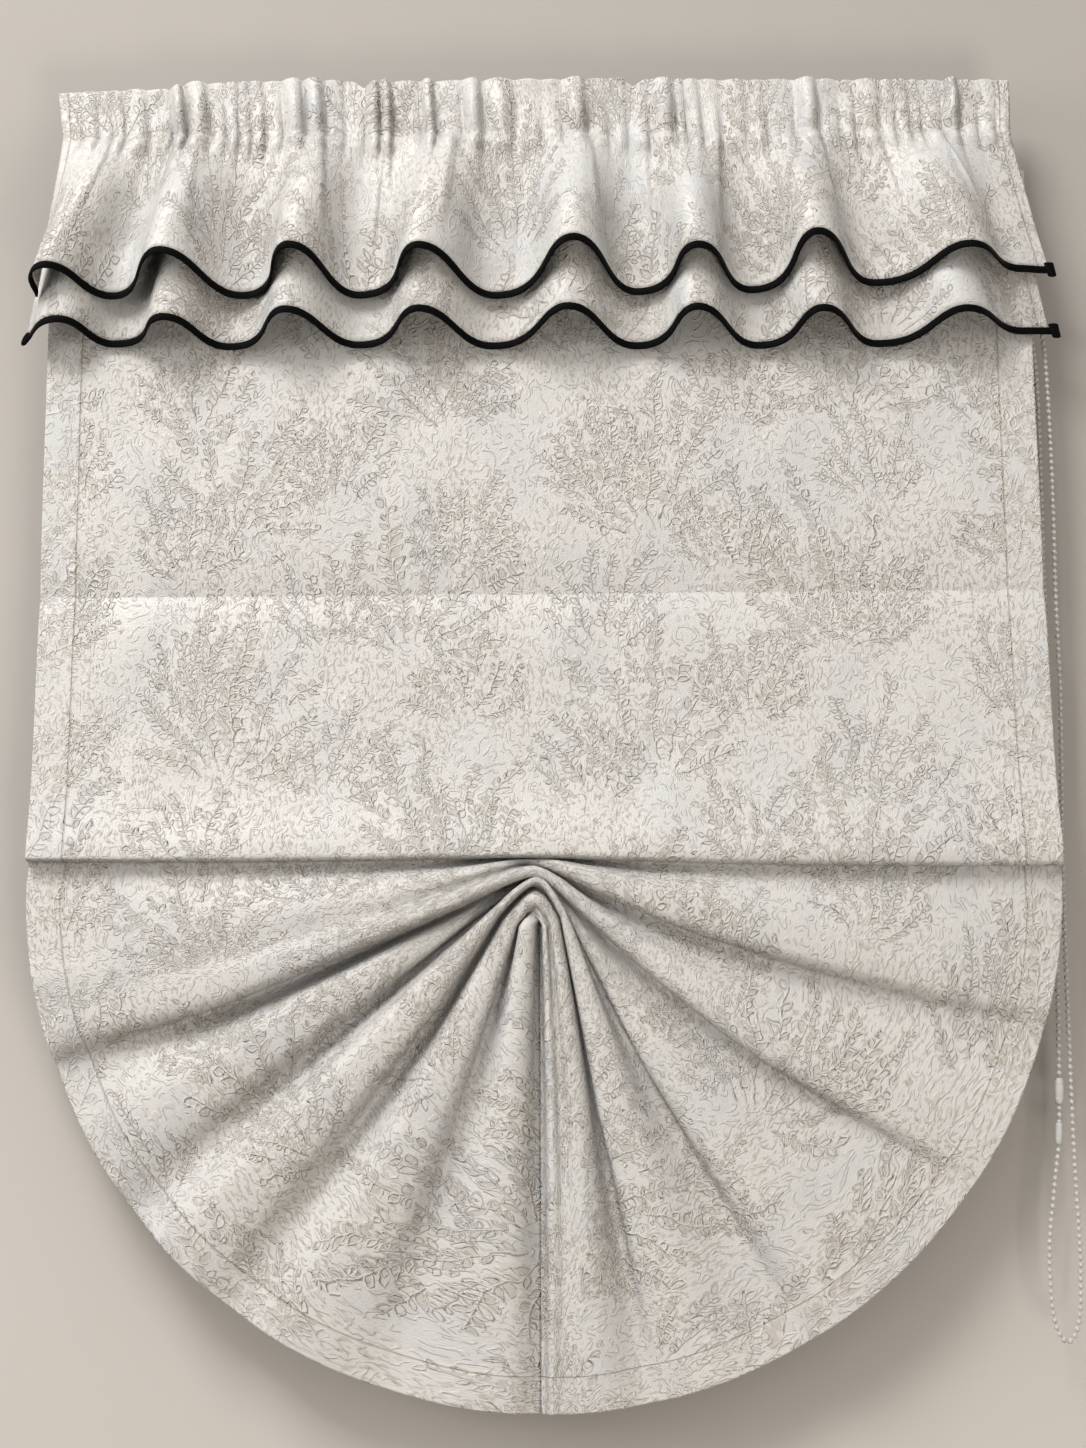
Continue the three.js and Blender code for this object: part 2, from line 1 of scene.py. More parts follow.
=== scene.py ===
"""Fan-bottomed Roman blind with a gathered, two-tier bound valance and a bead chain.

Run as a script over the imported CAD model. Metres in Blender; the tables below are in millimetres.
"""

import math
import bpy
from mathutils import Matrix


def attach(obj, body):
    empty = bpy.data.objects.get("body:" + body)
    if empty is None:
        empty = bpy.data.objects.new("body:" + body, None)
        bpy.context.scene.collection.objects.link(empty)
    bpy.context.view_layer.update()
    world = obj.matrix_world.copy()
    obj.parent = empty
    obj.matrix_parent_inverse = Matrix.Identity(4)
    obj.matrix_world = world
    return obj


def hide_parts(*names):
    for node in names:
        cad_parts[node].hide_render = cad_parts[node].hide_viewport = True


bl_info = {
    "name": "Fan Roman Blind",
    "version": (1, 0, 0),
    "blender": (4, 5, 0),
    "location": "3D View > Sidebar > Blind",
    "description": "Dresses a fan-bottomed Roman blind with figured cloth, bound skirts and a bead chain",
    "category": "Object",
}

import bpy
import numpy as np
from mathutils import Matrix, Vector

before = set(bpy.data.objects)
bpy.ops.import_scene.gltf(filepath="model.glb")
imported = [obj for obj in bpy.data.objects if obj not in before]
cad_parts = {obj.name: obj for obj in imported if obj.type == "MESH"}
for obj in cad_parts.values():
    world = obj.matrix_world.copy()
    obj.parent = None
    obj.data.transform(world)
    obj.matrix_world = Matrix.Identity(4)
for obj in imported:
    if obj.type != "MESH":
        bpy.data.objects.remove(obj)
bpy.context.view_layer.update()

MM = 0.001

# Panel, in millimetres, as in the solids
HALF_WIDTH = 450.0
FAN_TOP = 743.0
FAN_RADIUS = 451.0
HEM = 32.0
FAN_HEM = 30.0
CREASE = 484.0

# down: below the top edge. half: half the width. out: how far forward. The crease's dip is apart.
STRAIGHT_ROWS = (
    # down, half, out
    (4, 430, 0),
    (130, 450, 1),
    (250, 450, 2),
    (370, 450, 4),
    (440, 450, 5.5),
    (484, 450, 6.5),
    (530, 450, 9.5),
    (580, 450, 12),
    (625, 450, 15.5),
    (660, 450, 20),
    (690, 450, 27),
    (708, 450, 32.5),
    (721, 450, 35),
)
CREASE_DIP = 6.0
CREASE_ABOVE = 26.0
CREASE_BELOW = 17.0

# Lines of the fan: x, z at the centre, edge: down the side hem, bow, and how far forward near, over the
# centre, mid and far. late: over 1, the strip above the line drops near its end; under 1, near its start.
FAN_LEFT = (
    # x, z, edge, bow, near, over, mid, far, late
    (-34, -725, 724, 2, 19, 19, 20, 17, 2.6),
    (-42, -733, 800, 13, 34, 27, 34, 20, 0.8),
    (-42, -739, 826, 15, 31, 20, 33, 22, 1),
    (-40, -745, 858, 14, 36, 37, 36, 19, 1),
    (-44, -754, 908, 4, 19, 17, 10, 5, 2.4),
    (-50, -764, 986, -8, 20, 15, 29, 12, 0.9),
    (-46, -768, 1045, -2, 17, 15, 10, 5, 2.4),
    (-36, -766, 1093, 2, 34, 35, 33, 17, 0.9),
    (-40, -776, 1160, 5, 19, 19, 10, 5, 2.2),
    (-34, -783, 1216, 8, 29, 31, 30, 16, 0.9),
    (-24, -785, 1308, 2, 18, 25, 10, 5, 2.2),
    (-18, -785, 1408, -6, 31, 23, 29, 16, 0.9),
    (-2, -781, 1450, 0, 12, 14, 8, 3, 1.3),
)
FAN_RIGHT = (
    # x, z, edge, bow, near, over, mid, far, late
    (18, -726, 736, 3, 19, 19, 20, 17, 2.6),
    (21, -735, 838, 5, 35, 27, 31, 14, 0.8),
    (21, -744, 880, 16, 17, 21, 10, 6, 2.6),
    (21, -754, 985, 21, 36, 37, 30, 12, 1.1),
    (21, -764, 1030, 16, 18, 17, 10, 6, 2.4),
    (20, -770, 1176, 7, 22, 15, 29, 12, 0.9),
    (18, -771, 1226, 6, 17, 15, 9, 6, 2.2),
    (14, -770, 1322, -4, 34, 35, 30, 14, 0.9),
    (14, -778, 1366, -1, 18, 19, 9, 6, 2.4),
    (7, -783, 1418, -8, 32, 31, 31, 17, 0.6),
    (3, -785, 1440, -6, 25, 24, 24, 14, 1),
    (0, -785, 1447, -4, 28, 23, 26, 15, 1),
    (-4, -781, 1456, 0, 17, 14, 13, 8, 1),
)
# Columns of these tables
EDGE, NEAR, OVER, LATE = 2, 4, 5, 8
# How pointed the arches over the centre are
TENT = 2.4

# Skirt folds: sewn, x at the hem, height of the hem, how far forward
FRONT_FOLDS = (
    # sewn, x, hem, out, late
    (-440, -458, -204, 24, 1),
    (-398, -442, -188, 60, 0.5),
    (-352, -388, -205, 24, 1),
    (-322, -341, -176, 62, 1.2),
    (-264, -272, -204, 21, 1),
    (-208, -225, -172, 62, 1.5),
    (-160, -163, -205, 21, 1),
    (-90, -108, -173, 62, 1.5),
    (-30, -40, -206, 20, 1),
    (32, 31, -167, 63, 1.5),
    (84, 89, -204, 21, 1),
    (136, 142, -175, 62, 1.5),
    (182, 193, -203, 21, 1),
    (234, 250, -164, 63, 1.5),
    (290, 304, -198, 21, 1),
    (356, 386, -175, 58, 1.5),
    (412, 440, -184, 18, 1),
    (437, 465, -184, 14, 1),
)
BACK_FOLDS = (
    # sewn, x, hem, out, late
    (-438, -467, -241, 14, 1),
    (-398, -434, -232, 40, 0.5),
    (-352, -388, -245, 9, 1),
    (-322, -338, -233, 46, 1.5),
    (-264, -283, -250, 11, 1),
    (-208, -229, -227, 46, 1.5),
    (-160, -165, -249, 11, 1),
    (-90, -109, -227, 46, 1.5),
    (-30, -44, -251, 11, 1),
    (32, 26, -226, 46, 1.5),
    (84, 87, -252, 11, 1),
    (136, 142, -228, 46, 1.5),
    (182, 198, -253, 11, 1),
    (234, 255, -230, 46, 1.5),
    (290, 307, -252, 11, 1),
    (356, 384, -231, 44, 1.5),
    (410, 440, -241, 10, 1),
    (435, 464, -240, 7, 1),
)
SEWING_LINE = -48.0
HEADING_OUT = 9.0
BACK_SKIRT_TOP = -58.0
BACK_SKIRT_OUT = 4.5
SKIRT_FLARE = 1.2

# Where the gathers pinch in, and how full the cloth stands after each
PINCHES = (
    (-440, 0.5), (-420, 0.7), (-406, 0.5), (-393, 0.8), (-381, 1.0), (-359, 0.9), (-337, 1.3),
    (-325, 1.2), (-303, 0.7), (-288, 0.9), (-277, 0.7), (-265, 1.0), (-252, 0.8), (-235, 1.2),
    (-215, 1.3), (-196, 0.8), (-178, 0.6), (-159, 1.1), (-146, 1.3), (-134, 0.7), (-105, 1.2),
    (-94, 0.7), (-69, 1.3), (-50, 1.1), (-21, 0.9), (5, 0.6), (24, 1.3), (46, 0.8), (67, 0.7),
    (84, 0.9), (104, 1.2), (127, 0.8), (138, 1.0), (153, 0.9), (170, 0.7), (194, 0.9), (213, 0.8),
    (238, 1.2), (261, 0.8), (280, 0.9), (294, 1.0), (317, 0.7), (332, 0.9), (345, 0.6), (355, 0.8),
    (374, 1.2), (390, 0.8), (408, 0.9), (424, 0.6), (437, 0.0),
)
# Folds of the front skirt with a sharp right side: place on the sewing line at the top, place lower down, how
# far they stand up, and their width
RIDGES = (
    (-392, -392, 3.5, 14),
    (-314, -306, 4.5, 14),
    (-197, -189, 6.5, 16),
    (-140, -150, 3.0, 10),
    (-77, -76, 7.0, 16),
    (-12, -20, 3.0, 10),
    (48, 53, 7.0, 16),
    (101, 96, 3.0, 10),
    (168, 160, 6.0, 15),
    (205, 212, 3.0, 10),
    (262, 262, 4.5, 14),
    (316, 322, 3.0, 12),
    (372, 392, 5.5, 16),
)
# x, z of the heading's top edge
FRILL_TOP = (
    (-446, -2), (-335, 0), (-319, 5), (-220, 8), (-170, 7), (-160, 0), (-148, 6), (82, 7), (91, -1),
    (101, 6), (439, 2),
)

# The chain's way, in millimetres, as in the solids
CHAIN_ROUTE = (
    (446, 12, -142), (448, 12, -158), (456, 11, -200), (463, 10, -252), (465, 10, -330),
    (464.5, 10, -410), (463, 10, -490), (463, 10, -570), (461, 10, -640), (458, 10, -720),
    (456.5, 10, -832), (456, 10, -970), (457, 9, -1060), (456, 9, -1098), (453.5, 9, -1122),
    (449, 9, -1135), (443, 9, -1140), (437, 9, -1135), (432.5, 9, -1122), (430.5, 9, -1098),
    (431, 9, -1060), (437.5, 9, -1010), (443, 9, -970), (445.5, 9, -925), (448, 10, -850),
    (451, 10, -740), (453, 10, -600), (453, 10, -482), (455, 10, -344), (454, 10, -262),
    (446, 11, -205), (434, 12, -158), (432, 12, -142),
)
# name, top of the joint, length, widest radius, in millimetres
CHAIN_JOINTS = (
    ("chain_connector_a", -918, 22, 4.2),
    ("chain_connector_b", -956, 18, 3.4),
)

# The moulded ends of the joints, in metres: how far in, and the radius, as a fixed size plus a part of the
# joint's widest radius
JOINT_END = (
    (0.0006, 0.0012, 0.0),
    (0.0, 0.0016, 0.0),
    (0.0, 0.0026, 0.0),
    (0.0004, 0.0030, 0.0),
    (0.0030, 0.0, 0.90),
    (0.0048, 0.0, 1.0),
    (0.0056, 0.0, 0.93),
    (0.0064, 0.0, 1.0),
)
BEAD_TIP = 0.00035
STRING_RADIUS = 0.00055
BEAD_SIDES = 12
STRING_SIDES = 6
JOINT_SIDES = 28

# The tapes' folded ends, from the top down: aside, down from the tape's middle, and wide
FOLDED_END = ((0.2, -6.6, 6.0), (0.3, -6.1, 9.2), (1.8, 0.0, 8.6), (3.3, 5.9, 7.6), (3.5, 6.5, 4.6))
TUCKED_END = (
    (2.0, -5.5, 1.5),
    (1.6, -4.6, 4.6),
    (0.2, -1.0, 6.8),
    (-1.6, 3.2, 6.6),
    (-3.0, 6.2, 4.2),
    (-3.4, 7.2, 1.5),
)
TAPE_SIDES = 16
TAPE_RIB = 0.0011

# How sharply a fold may bend, how its bend follows from rise over run, how finely it is worked out, and into
# how many rows a strip of the fan is cut
MOST_BEND = 1.9
BEND_SCALE = 1.531
BEND_RATE = 1.026
FLANK_STEPS = 24
STRIP_STEPS = 12
RIPPLE_WAVES = 7

# Where the cloth's points lie closer: in from its side edge, down from its top edge by the crease, and up the
# heading
HEM_STEPS = (0, 1.5, 5, 12, 20, 27, 29.5, 30.7, 31.6, 32.6, 35, 40, 48)
HEM_STRIP = 56.0
CREASE_STEPS = (479, 481.5, 483, 484, 485, 486.5, 489, 492)
FRILL_RISES = (1.0, 0.97, 0.9, 0.8, 0.68, 0.55, 0.42, 0.3, 0.2, 0.12, 0.05)
SIDE_HEM = 9.0

# The two layers of bushes in the weave, in millimetres: column, row, reach, spread in radians, leaf, seed
BUSHES = (
    (188.0, 222.0, 190.0, 0.41, 14.5, 1.0),
    (121.0, 137.0, 112.0, 0.46, 11.5, 5.0),
)
# The leaves stand off their branch at 44 degrees
LEAF_SINE = math.sin(math.radians(44))
LEAF_COSINE = math.cos(math.radians(44))
# Added to the distance where a line isn't there
FAR_OFF = 9.0
NOWHERE = (0.0, 0.0, 0.0)
# The relief at which the raised lines slope as much as they can
FULL_RELIEF = 0.0014

# The lamps: place, what it is turned to, size, power as a share of the key lamp's, colour
LAMPS = (
    ("key", (-1.5, -2.3, 2.3), (0.0, 0.0, -0.6), 1.6, 1.0, (1.0, 0.99, 0.975)),
    ("side", (-2.6, -1.2, -0.3), (0.0, 0.0, -0.7), 0.9, 0.16, (1.0, 0.99, 0.97)),
    ("behind", (0.6, 2.2, 0.6), (0.0, 0.0, -0.6), 2.0, 0.7, (1.0, 0.99, 0.98)),
    ("low", (1.1, -2.4, -2.7), (0.2, 0.0, -1.0), 1.2, 0.33, (1.0, 0.93, 0.84)),
)
SENSOR = 36.0
FOCAL_PIXELS = 2400
PHOTO_HEIGHT = 1448


def length_setting(name, default, low, high, text):
    """A length in metres that can be set."""
    return bpy.props.FloatProperty(
        name=name, description=text, default=default, min=low, max=high, unit="LENGTH"
    )


def colour_setting(name, default, text):
    """A colour that can be set."""
    return bpy.props.FloatVectorProperty(
        name=name, description=text, default=default, min=0.0, max=1.0, subtype="COLOR"
    )


class BlindCloth(bpy.types.PropertyGroup):
    """The figured cloth of the panel and the skirts."""

    thickness: length_setting("Thickness", 0.0013, 0.0005, 0.003, "Thickness of the cloth as it is drawn")
    ground: colour_setting("Ground", (0.91, 0.89, 0.855), "Warm white of the cloth's ground")
    cool: colour_setting("Cool patches", (0.86, 0.855, 0.845), "Cooler white of the ground's cloudy patches")
    line: colour_setting("Figure", (0.565, 0.485, 0.395), "Beige of the stems and the leaves' outlines")
    relief: length_setting("Relief", 0.0007, 0.0, 0.002, "How far the woven figure stands up from the ground")
    gather: length_setting("Gathers", 0.0048, 0.0, 0.01, "How deep the gathers of the heading are")


class BlindBinding(bpy.types.PropertyGroup):
    """The dark binding of the two skirts."""

    width: length_setting("Width", 0.0068, 0.002, 0.02, "How much of the binding shows below the hem's edge")
    thickness: length_setting("Thickness", 0.0028, 0.001, 0.005, "Thickness of the folded tape")
    colour: colour_setting("Colour", (0.004, 0.0038, 0.0045), "Colour of the tape")


class BlindChain(bpy.types.PropertyGroup):
    """The bead chain and what is on it."""

    bead: length_setting("Bead", 0.0045, 0.002, 0.01, "Diameter of a bead")
    pitch: length_setting("Pitch", 0.006, 0.003, 0.02, "From one bead's middle to the next one's")
    colour: colour_setting("Colour", (0.80, 0.785, 0.75), "Colour of the beads, the joints and the drive")


class BlindStage(bpy.types.PropertyGroup):
    """The backdrop, the lights and the camera."""

    wall: length_setting("Wall", 0.045, 0.03, 1.0, "How far behind the panel the backdrop stands")
    tone: colour_setting("Backdrop", (0.64, 0.60, 0.555), "Colour of the backdrop and the floor")
    key: bpy.props.FloatProperty(
        name="Key light",
        description="Strength of the soft light from the upper left, in watts",
        default=93.0,
        min=0.0,
        max=500.0,
    )


def share_of(values, start, end):
    """Smooth share from 0 at start to 1 at end."""
    t = np.clip((values - start) / (end - start), 0, 1)
    return t * t * (3 - 2 * t)


def mix(a, b, t):
    return a + (b - a) * t


def between_rows(places, at):
    """The row before each of some places in a table's first column, and the share of the way to the next."""
    k = np.clip(np.searchsorted(places, at, side="right") - 1, 0, len(places) - 2)
    return k, np.clip((at - places[k]) / (places[k + 1] - places[k]), 0, 1)


def smooth(at, places, values):
    """A smooth curve through a table's values."""
    k, t = between_rows(places, at)
    gap = places[k + 1] - places[k]
    slopes = np.gradient(values, places)
    start = values[k] * (1 + 2 * t) * (1 - t) ** 2 + slopes[k] * gap * t * (1 - t) ** 2
    return start + values[k + 1] * t * t * (3 - 2 * t) - slopes[k + 1] * gap * t * t * (1 - t)


def spread_out(rows, count):
    """Places along a table's first column, the same number between each two rows."""
    places = np.array([row[0] for row in rows], float)
    steps = np.arange(count) / count
    inner = (places[:-1, None] + np.diff(places)[:, None] * steps).ravel()
    return np.append(inner, places[-1])


def flank(t, rise, run, late=1.0):
    """The shares of run and rise done at t down the side of a fold, which is bent as a strip bends. Over 1,
    late puts the steep part near the end; under 1, near the start."""
    bend = np.clip(BEND_SCALE * np.arctan(BEND_RATE * rise / np.maximum(run, 0.1)), 0.001, MOST_BEND)
    bend = np.minimum(bend * (1 + 0.45 * np.maximum(late - 1, 0)), MOST_BEND)
    along, up, along_all, up_all = np.zeros((4, *np.broadcast(t, bend).shape))
    for i in range(FLANK_STEPS):
        slope = bend * np.sin(math.pi * ((i + 0.5) / FLANK_STEPS) ** late)
        done = np.clip(t * FLANK_STEPS - i, 0, 1)
        along += done * np.cos(slope)
        up += done * np.sin(slope)
        along_all += np.cos(slope)
        up_all += np.sin(slope)
    return along / along_all, up / up_all


def ripple(x, y, wavelength, seed):
    """Soft uneven waves between about -1 and 1, the same on every run."""
    draw = np.random.default_rng(seed)
    total = np.zeros(np.broadcast(x, y).shape)
    for _ in range(RIPPLE_WAVES):
        turn = draw.uniform(0, 2 * math.pi)
        size = wavelength * draw.uniform(0.7, 1.6)
        phase = draw.uniform(0, 2 * math.pi)
        total += np.sin((x * math.cos(turn) + y * math.sin(turn)) * 2 * math.pi / size + phase)
    return total / (RIPPLE_WAVES / 2)


def run_along(grid, axis):
    """Distance along a grid of points from its first row or column."""
    steps = np.linalg.norm(np.diff(grid, axis=axis), axis=-1)
    return np.insert(np.cumsum(steps, axis=axis), 0, 0, axis=axis)


def unit(vectors):
    """The vectors at length 1."""
    return vectors / np.maximum(np.linalg.norm(vectors, axis=-1, keepdims=True), 1e-12)


def quads(*corners):
    """Four-sided faces from four arrays of point numbers."""
    return np.stack(corners, -1).reshape(-1, 4)


def sheet_object(name, grid, thickness, material, maps):
    """A closed sheet of cloth from a grid of points in millimetres. maps holds (width, height) UV grids by
    name."""
    down, across = grid.shape[:2]
    half = unit(np.cross(np.gradient(grid, axis=0), np.gradient(grid, axis=1))) * thickness / MM / 2
    points = np.stack([grid + half, grid - half]).reshape(-1, 3) * MM
    index = np.arange(down * across).reshape(down, across)
    behind = index + down * across
    faces = np.concatenate(
        [
            quads(index[:-1, :-1], index[1:, :-1], index[1:, 1:], index[:-1, 1:]),
            quads(behind[:-1, :-1], behind[:-1, 1:], behind[1:, 1:], behind[1:, :-1]),
            quads(index[0, :-1], index[0, 1:], behind[0, 1:], behind[0, :-1]),
            quads(index[-1, :-1], behind[-1, :-1], behind[-1, 1:], index[-1, 1:]),
            quads(index[:-1, 0], behind[:-1, 0], behind[1:, 0], index[1:, 0]),
            quads(index[:-1, -1], index[1:, -1], behind[1:, -1], behind[:-1, -1]),
        ]
    )
    both = {key: np.tile(values.reshape(-1, 2), (2, 1)) for key, values in maps.items()}
    return mesh_object(name, points, faces.tolist(), material, both)


def new_object(name, data):
    made = bpy.data.objects.new(name, data)
    bpy.context.scene.collection.objects.link(made)
    return made


def mesh_object(name, points, faces, material, maps=None):
    """An object from points in metres and faces, smooth, with UV maps given point by point."""
    mesh = bpy.data.meshes.new(name)
    mesh.from_pydata(points.tolist(), [], faces)
    corners = np.empty(len(mesh.loops), np.int32)
    mesh.loops.foreach_get("vertex_index", corners)
    for key, values in (maps or {}).items():
        mesh.uv_layers.new(name=key).data.foreach_set("uv", values[corners].astype(np.float32).ravel())
    mesh.shade_smooth()
    mesh.materials.append(material)
    mesh.validate()
    return new_object(name, mesh)


class Value:
    """A node's output in a formula: arithmetic with it places the nodes that work the result out. A vector
    is scaled by a number, or multiplied by three numbers part by part."""

    def __init__(self, wiring, socket):
        self.wiring = wiring
        self.socket = socket

    def worked(self, operation, *others):
        if self.socket.type == "VALUE":
            return self.wiring.math(operation, self, *others)
        return self.wiring.vector(operation, self, *others)

    def __add__(self, other):
        return self.worked("ADD", other)

    def __sub__(self, other):
        return self.worked("SUBTRACT", other)

    def __rsub__(self, other):
        return self.wiring.math("SUBTRACT", other, self)

    def __mul__(self, other):
        scales = self.socket.type != "VALUE" and not isinstance(other, tuple)
        return self.worked("SCALE" if scales else "MULTIPLY", other)

    def __truediv__(self, other):
        return self.worked("DIVIDE", other)

    def __rtruediv__(self, other):
        return self.wiring.math("DIVIDE", other, self)

    def __gt__(self, other):
        return self.worked("GREATER_THAN", other)

    def __lt__(self, other):
        return self.worked("LESS_THAN", other)

    def __abs__(self):
        return self.worked("ABSOLUTE")


class Wiring:
    """Places nodes in a tree and links them."""

    def __init__(self, tree):
        self.tree = tree
        self.count = 0

    def put(self, kind, given=None, **settings):
        """A new node with its settings, and what is given to its inputs by name or number."""
        node = self.tree.nodes.new(kind)
        node.location = (180 * (self.count % 24), -220 * (self.count // 24))
        self.count += 1
        for key, value in settings.items():
            setattr(node, key, value)
        self.feed(node, given or {})
        return node

    def feed(self, node, given):
        """Gives a node's inputs their values or links. One given as None is left as it is."""
        for key, value in given.items():
            if isinstance(value, Value):
                self.tree.links.new(value.socket, node.inputs[key])
            elif value is not None:
                node.inputs[key].default_value = value

    def get(self, kind, output=0, given=None, **settings):
        """One output of a new node."""
        return Value(self, self.put(kind, given, **settings).outputs[output])

    def math(self, operation, a, b=None, c=None, clamp=False):
        given = {0: a, 1: b, 2: c}
        return self.get("ShaderNodeMath", 0, given, operation=operation, use_clamp=clamp)

    def vector(self, operation, a, b):
        given = {0: a, "Scale" if operation == "SCALE" else 1: b}
        return self.get("ShaderNodeVectorMath", 0, given, operation=operation)

    def larger(self, a, b):
        return self.math("MAXIMUM", a, b)

    def smaller(self, a, b):
        return self.math("MINIMUM", a, b)

    def sine(self, a):
        return self.math("SINE", a)

    def cosine(self, a):
        return self.math("COSINE", a)

    def sign(self, a):
        return self.math("SIGN", a)

    def fade(self, value, start, end):
        """1 at start and 0 at end, smooth between."""
        given = {0: value, 1: start, 2: end, 3: 1.0, 4: 0.0}
        return self.get("ShaderNodeMapRange", 0, given, interpolation_type="SMOOTHSTEP")

    def rise(self, value, start, end):
        """0 at start and 1 at end, smooth between."""
        return 1.0 - self.fade(value, start, end)

    def joined(self, x, y, z=0.0):
        return self.get("ShaderNodeCombineXYZ", 0, {0: x, 1: y, 2: z})

    def parts(self, vector):
        node = self.put("ShaderNodeSeparateXYZ", {0: vector})
        return [Value(self, socket) for socket in node.outputs]

    def chance(self, x, y, z):
        """Three random values for a place."""
        given = {"Vector": self.joined(x, y, z)}
        return self.parts(self.get("ShaderNodeTexWhiteNoise", "Color", given, noise_dimensions="3D"))

    def noise(self, vector, scale, detail=2.0, roughness=0.5, output="Fac", dimensions="2D"):
        given = {"Vector": vector, "Scale": scale, "Detail": detail, "Roughness": roughness}
        return self.get("ShaderNodeTexNoise", output, given, noise_dimensions=dimensions)

    def blend(self, share, first, second, mode="MIX"):
        given = {0: share, 6: first, 7: second}
        return self.get("ShaderNodeMix", 2, given, data_type="RGBA", blend_type=mode)

    def toned(self, colour, tone):
        """A colour made darker or lighter."""
        return self.blend(1.0, (*colour, 1), self.joined(tone, tone, tone), "MULTIPLY")

    def bump(self, height, strength, distance, normal=None):
        given = {"Strength": strength, "Distance": distance, "Height": height, "Normal": normal}
        return self.get("ShaderNodeBump", 0, given)


def shared_group(name, takes, gives, formula):
    """A shader node group, made when it is first asked for. takes and gives hold its sockets' defaults by
    name, and the formula takes the inputs in order and returns the outputs in order."""
    if name in bpy.data.node_groups:
        return bpy.data.node_groups[name]
    group = bpy.data.node_groups.new(name, "ShaderNodeTree")
    for in_out, sockets in (("INPUT", takes), ("OUTPUT", gives)):
        for label, default in sockets.items():
            kind = "NodeSocketVector" if isinstance(default, tuple) else "NodeSocketFloat"
            socket = group.interface.new_socket(name=label, in_out=in_out, socket_type=kind)
            socket.default_value = default
    w = Wiring(group)
    source = w.put("NodeGroupInput")
    sink = w.put("NodeGroupOutput")
    results = formula(w, *(Value(w, source.outputs[label]) for label in takes))
    w.feed(sink, dict(enumerate(results)))
    return group


def leafy_bushes(w, place, column_width, row_height, reach, spread, leaf, seed):
    """Bushes of outlined leaves, one to a cell, in half-drop rows: branches fan out from a point at the foot
    of the cell, with leaves on alternate sides. Places are in millimetres, and so is the distance to the
    nearest line, which comes first. After it come the share of filled leaf and the way off the line."""
    x, y, _ = w.parts(place)
    column = w.math("FLOOR", x / column_width)
    dropped = y + w.math("FLOORED_MODULO", column, 2.0) * (row_height * 0.5)
    row = w.math("FLOOR", dropped / row_height)
    cell_x, cell_y, cell_z = w.chance(column, row, seed)
    local_x = x - (column + (cell_x * 0.16 + 0.42)) * column_width
    local_y = dropped - (row + 0.05) * row_height
    radius = w.math("SQRT", local_x * local_x + local_y * local_y)
    turn = w.math("ARCTAN2", local_x, local_y) + (cell_y - 0.5) * (radius * 0.004)

    # Twice as many branches in the outer part
    outer = radius > reach * 0.48
    gap = spread * (1.0 - outer * 0.5)
    lean = w.math("ROUND", turn / gap) * gap
    lean_sine = w.sine(lean)
    lean_cosine = w.cosine(lean)
    aside = turn - lean
    off = radius * w.sine(aside)
    on = radius * w.cosine(aside)
    branch, _, _ = w.chance(lean * 10.0, cell_z * 31.0, seed)
    room = column_width * 0.40 / w.larger(abs(lean_sine), 0.2)
    length = w.smaller(reach * (branch * 0.45 + 0.55), room)
    upright = abs(lean) < 1.35
    there = w.fade(on - length, -1.0, 1.0) * upright * w.rise(on, 8.0, 22.0)
    stem = abs(off) + (1.0 - there) * FAR_OFF

    # Leaves stand off the branch at an angle, on alternate sides, and shrink to its tip
    side = w.sign(off)
    away = abs(off)
    step = leaf * 0.72
    root = on - away * (LEAF_COSINE / LEAF_SINE) + side * (step * 0.25)
    number = w.math("ROUND", root / step)
    rooted = number * step
    from_root = root - rooted
    leaf_off = from_root * LEAF_SINE
    leaf_on = away * (1 / LEAF_SINE) + from_root * LEAF_COSINE - 0.8
    leaf_x, leaf_y, leaf_z = w.chance(number, lean * 57.0 + (side * 5.0 + cell_z * 31.0), seed)
    full = leaf * (leaf_x * 0.45 + 0.62) * (1.08 - w.math("DIVIDE", rooted, length, clamp=True) * 0.4)
    ratio = w.math("DIVIDE", leaf_on, full, clamp=True)
    swell = w.sine(w.math("POWER", ratio, 0.8) * math.pi)
    inside = abs(leaf_off) - full * (leaf_y * 0.12 + 0.22) * swell
    grown = (leaf_on > 0.0) * (leaf_on < full) * ((leaf_z > 0.1) * upright)
    grown = grown * (rooted < length) * (rooted > reach * 0.15)
    outline = abs(inside) + (1.0 - grown) * FAR_OFF
    filled = grown * (w.math("FRACT", leaf_z * 7.0) > 0.5) * w.fade(inside, -0.7, 0.0)

    # The way that leads straight off the nearest line, across the cloth and up it
    on_leaf = outline < stem
    turned = w.sign(inside) * w.sign(leaf_off) * on_leaf
    aside_part = side * (1.0 - on_leaf - turned * LEAF_COSINE)
    along_part = turned * LEAF_SINE
    away_x = aside_part * lean_cosine + along_part * lean_sine
    away_y = along_part * lean_cosine - aside_part * lean_sine
    return w.smaller(stem, outline), filled, w.joined(away_x, away_y)


